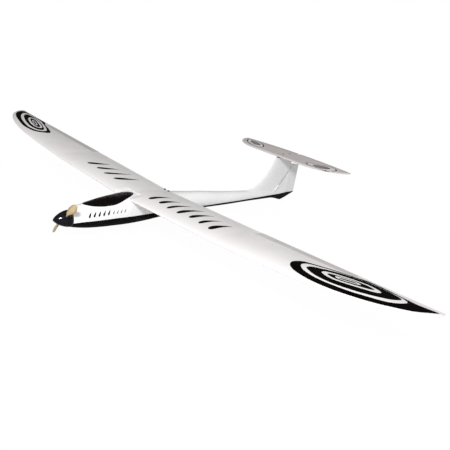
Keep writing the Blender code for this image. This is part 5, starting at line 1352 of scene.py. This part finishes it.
# ---------------------------------------------------------------- floor, light, camera
def stage_plane():
    mesh = bpy.data.meshes.new("studio_floor")
    r = 30.0
    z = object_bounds()[0][2] - 0.0004
    mesh.from_pydata([(-r, -r, z), (r, -r, z), (r, r, z), (-r, r, z)], [], [(0, 1, 2, 3)])
    floor = bpy.data.objects.new("studio_floor", mesh)
    scene.collection.objects.link(floor)
    m = bpy.data.materials.new("pale_floor")
    m.use_nodes = True
    t = m.node_tree
    t.nodes.clear()
    out = t.nodes.new("ShaderNodeOutputMaterial")
    path = t.nodes.new("ShaderNodeLightPath")
    paper = t.nodes.new("ShaderNodeTexNoise")
    paper.inputs["Scale"].default_value = 3.0
    ramp = t.nodes.new("ShaderNodeMapRange")
    ramp.inputs["To Min"].default_value = 0.78
    ramp.inputs["To Max"].default_value = 0.82
    t.links.new(paper.outputs["Fac"], ramp.inputs["Value"])
    diffuse = t.nodes.new("ShaderNodeBsdfDiffuse")
    t.links.new(ramp.outputs["Result"], diffuse.inputs["Color"])
    glow = t.nodes.new("ShaderNodeEmission")
    glow.inputs["Color"].default_value = (1.0, 1.0, 1.0, 1.0)
    glow.inputs["Strength"].default_value = 1.01
    seen = t.nodes.new("ShaderNodeMixShader")
    where = t.nodes.new("ShaderNodeTexCoord")
    length = t.nodes.new("ShaderNodeVectorMath")
    length.operation = "LENGTH"
    t.links.new(where.outputs["Object"], length.inputs[0])
    fade = t.nodes.new("ShaderNodeMapRange")
    for key, v in (("From Min", 0.7), ("From Max", 1.6), ("To Min", 0.965), ("To Max", 1.0)):
        fade.inputs[key].default_value = v
    t.links.new(length.outputs["Value"], fade.inputs["Value"])
    t.links.new(fade.outputs["Result"], seen.inputs[0])
    t.links.new(diffuse.outputs[0], seen.inputs[1])
    t.links.new(glow.outputs[0], seen.inputs[2])
    final = t.nodes.new("ShaderNodeMixShader")
    t.links.new(path.outputs["Is Camera Ray"], final.inputs[0])
    dim = t.nodes.new("ShaderNodeBsdfDiffuse")
    dim.inputs["Color"].default_value = (0.10, 0.10, 0.10, 1.0)
    bounce = t.nodes.new("ShaderNodeMixShader")
    t.links.new(path.outputs["Is Glossy Ray"], bounce.inputs[0])
    t.links.new(diffuse.outputs[0], bounce.inputs[1])
    t.links.new(dim.outputs[0], bounce.inputs[2])
    t.links.new(bounce.outputs[0], final.inputs[1])
    t.links.new(seen.outputs[0], final.inputs[2])
    t.links.new(final.outputs[0], out.inputs["Surface"])
    mesh.materials.append(m)
    floor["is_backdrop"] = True


stage_plane()

world = bpy.data.worlds.new("studio")
scene.world = world
world.use_nodes = True
t = world.node_tree
t.nodes.clear()
out = t.nodes.new("ShaderNodeOutputWorld")
path = t.nodes.new("ShaderNodeLightPath")
fill = t.nodes.new("ShaderNodeBackground")
fill.inputs["Color"].default_value = (1.0, 0.985, 0.985, 1.0)
fill.inputs["Strength"].default_value = 0.56
shine = t.nodes.new("ShaderNodeBackground")
shine.inputs["Color"].default_value = (1.0, 1.0, 1.0, 1.0)
shine.inputs["Strength"].default_value = 0.03
white = t.nodes.new("ShaderNodeBackground")
white.inputs["Color"].default_value = (1.0, 1.0, 1.0, 1.0)
white.inputs["Strength"].default_value = 1.0
mix1 = t.nodes.new("ShaderNodeMixShader")
t.links.new(path.outputs["Is Glossy Ray"], mix1.inputs[0])
t.links.new(fill.outputs[0], mix1.inputs[1])
t.links.new(shine.outputs[0], mix1.inputs[2])
mix2 = t.nodes.new("ShaderNodeMixShader")
t.links.new(path.outputs["Is Camera Ray"], mix2.inputs[0])
t.links.new(mix1.outputs[0], mix2.inputs[1])
t.links.new(white.outputs[0], mix2.inputs[2])
t.links.new(mix2.outputs[0], out.inputs["Surface"])


def lamp(name, where, aim, size, power, color=(1, 1, 1)):
    data = bpy.data.lights.new(name, "AREA")
    data.shape = "DISK"
    data.size = size
    data.energy = power
    data.color = color
    obj = bpy.data.objects.new(name, data)
    obj.location = where
    obj.rotation_mode = "QUATERNION"
    obj.rotation_quaternion = (Vector(aim) - Vector(where)).to_track_quat("-Z", "Y")
    scene.collection.objects.link(obj)
    return obj


def around(az, el, d, centre=(0.0, 0.165, 0.06)):
    a, e = math.radians(az), math.radians(el)
    return Vector(centre) + Vector((math.sin(a) * math.cos(e), -math.cos(a) * math.cos(e), math.sin(e))) * d


lamp("key", around(40, 34, 2.8), (0.0, 0.10, 0.05), 0.42, 60)

cam_data = bpy.data.cameras.new("camera")
cam_data.sensor_width = 36.0
cam_data.lens = 44.0
cam_data.clip_start, cam_data.clip_end = 0.02, 200.0
cam = bpy.data.objects.new("camera", cam_data)
az, el, roll = math.radians(43.048), math.radians(19.35), math.radians(9.999)
back = Vector((math.sin(az) * math.cos(el), -math.cos(az) * math.cos(el), math.sin(el)))
right = Vector((math.cos(az), math.sin(az), 0.0))
up = back.cross(right)
right2 = right * math.cos(roll) + up * math.sin(roll)
up2 = -right * math.sin(roll) + up * math.cos(roll)
rot = Matrix((right2, up2, back)).transposed().to_4x4()
cam.matrix_world = Matrix.Translation(Vector(put((1.363, -1.162, 0.536)))) @ rot
scene.collection.objects.link(cam)
scene.camera = cam
scene.view_settings.view_transform = "Standard"
scene.view_settings.look = "None"

lo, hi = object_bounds()
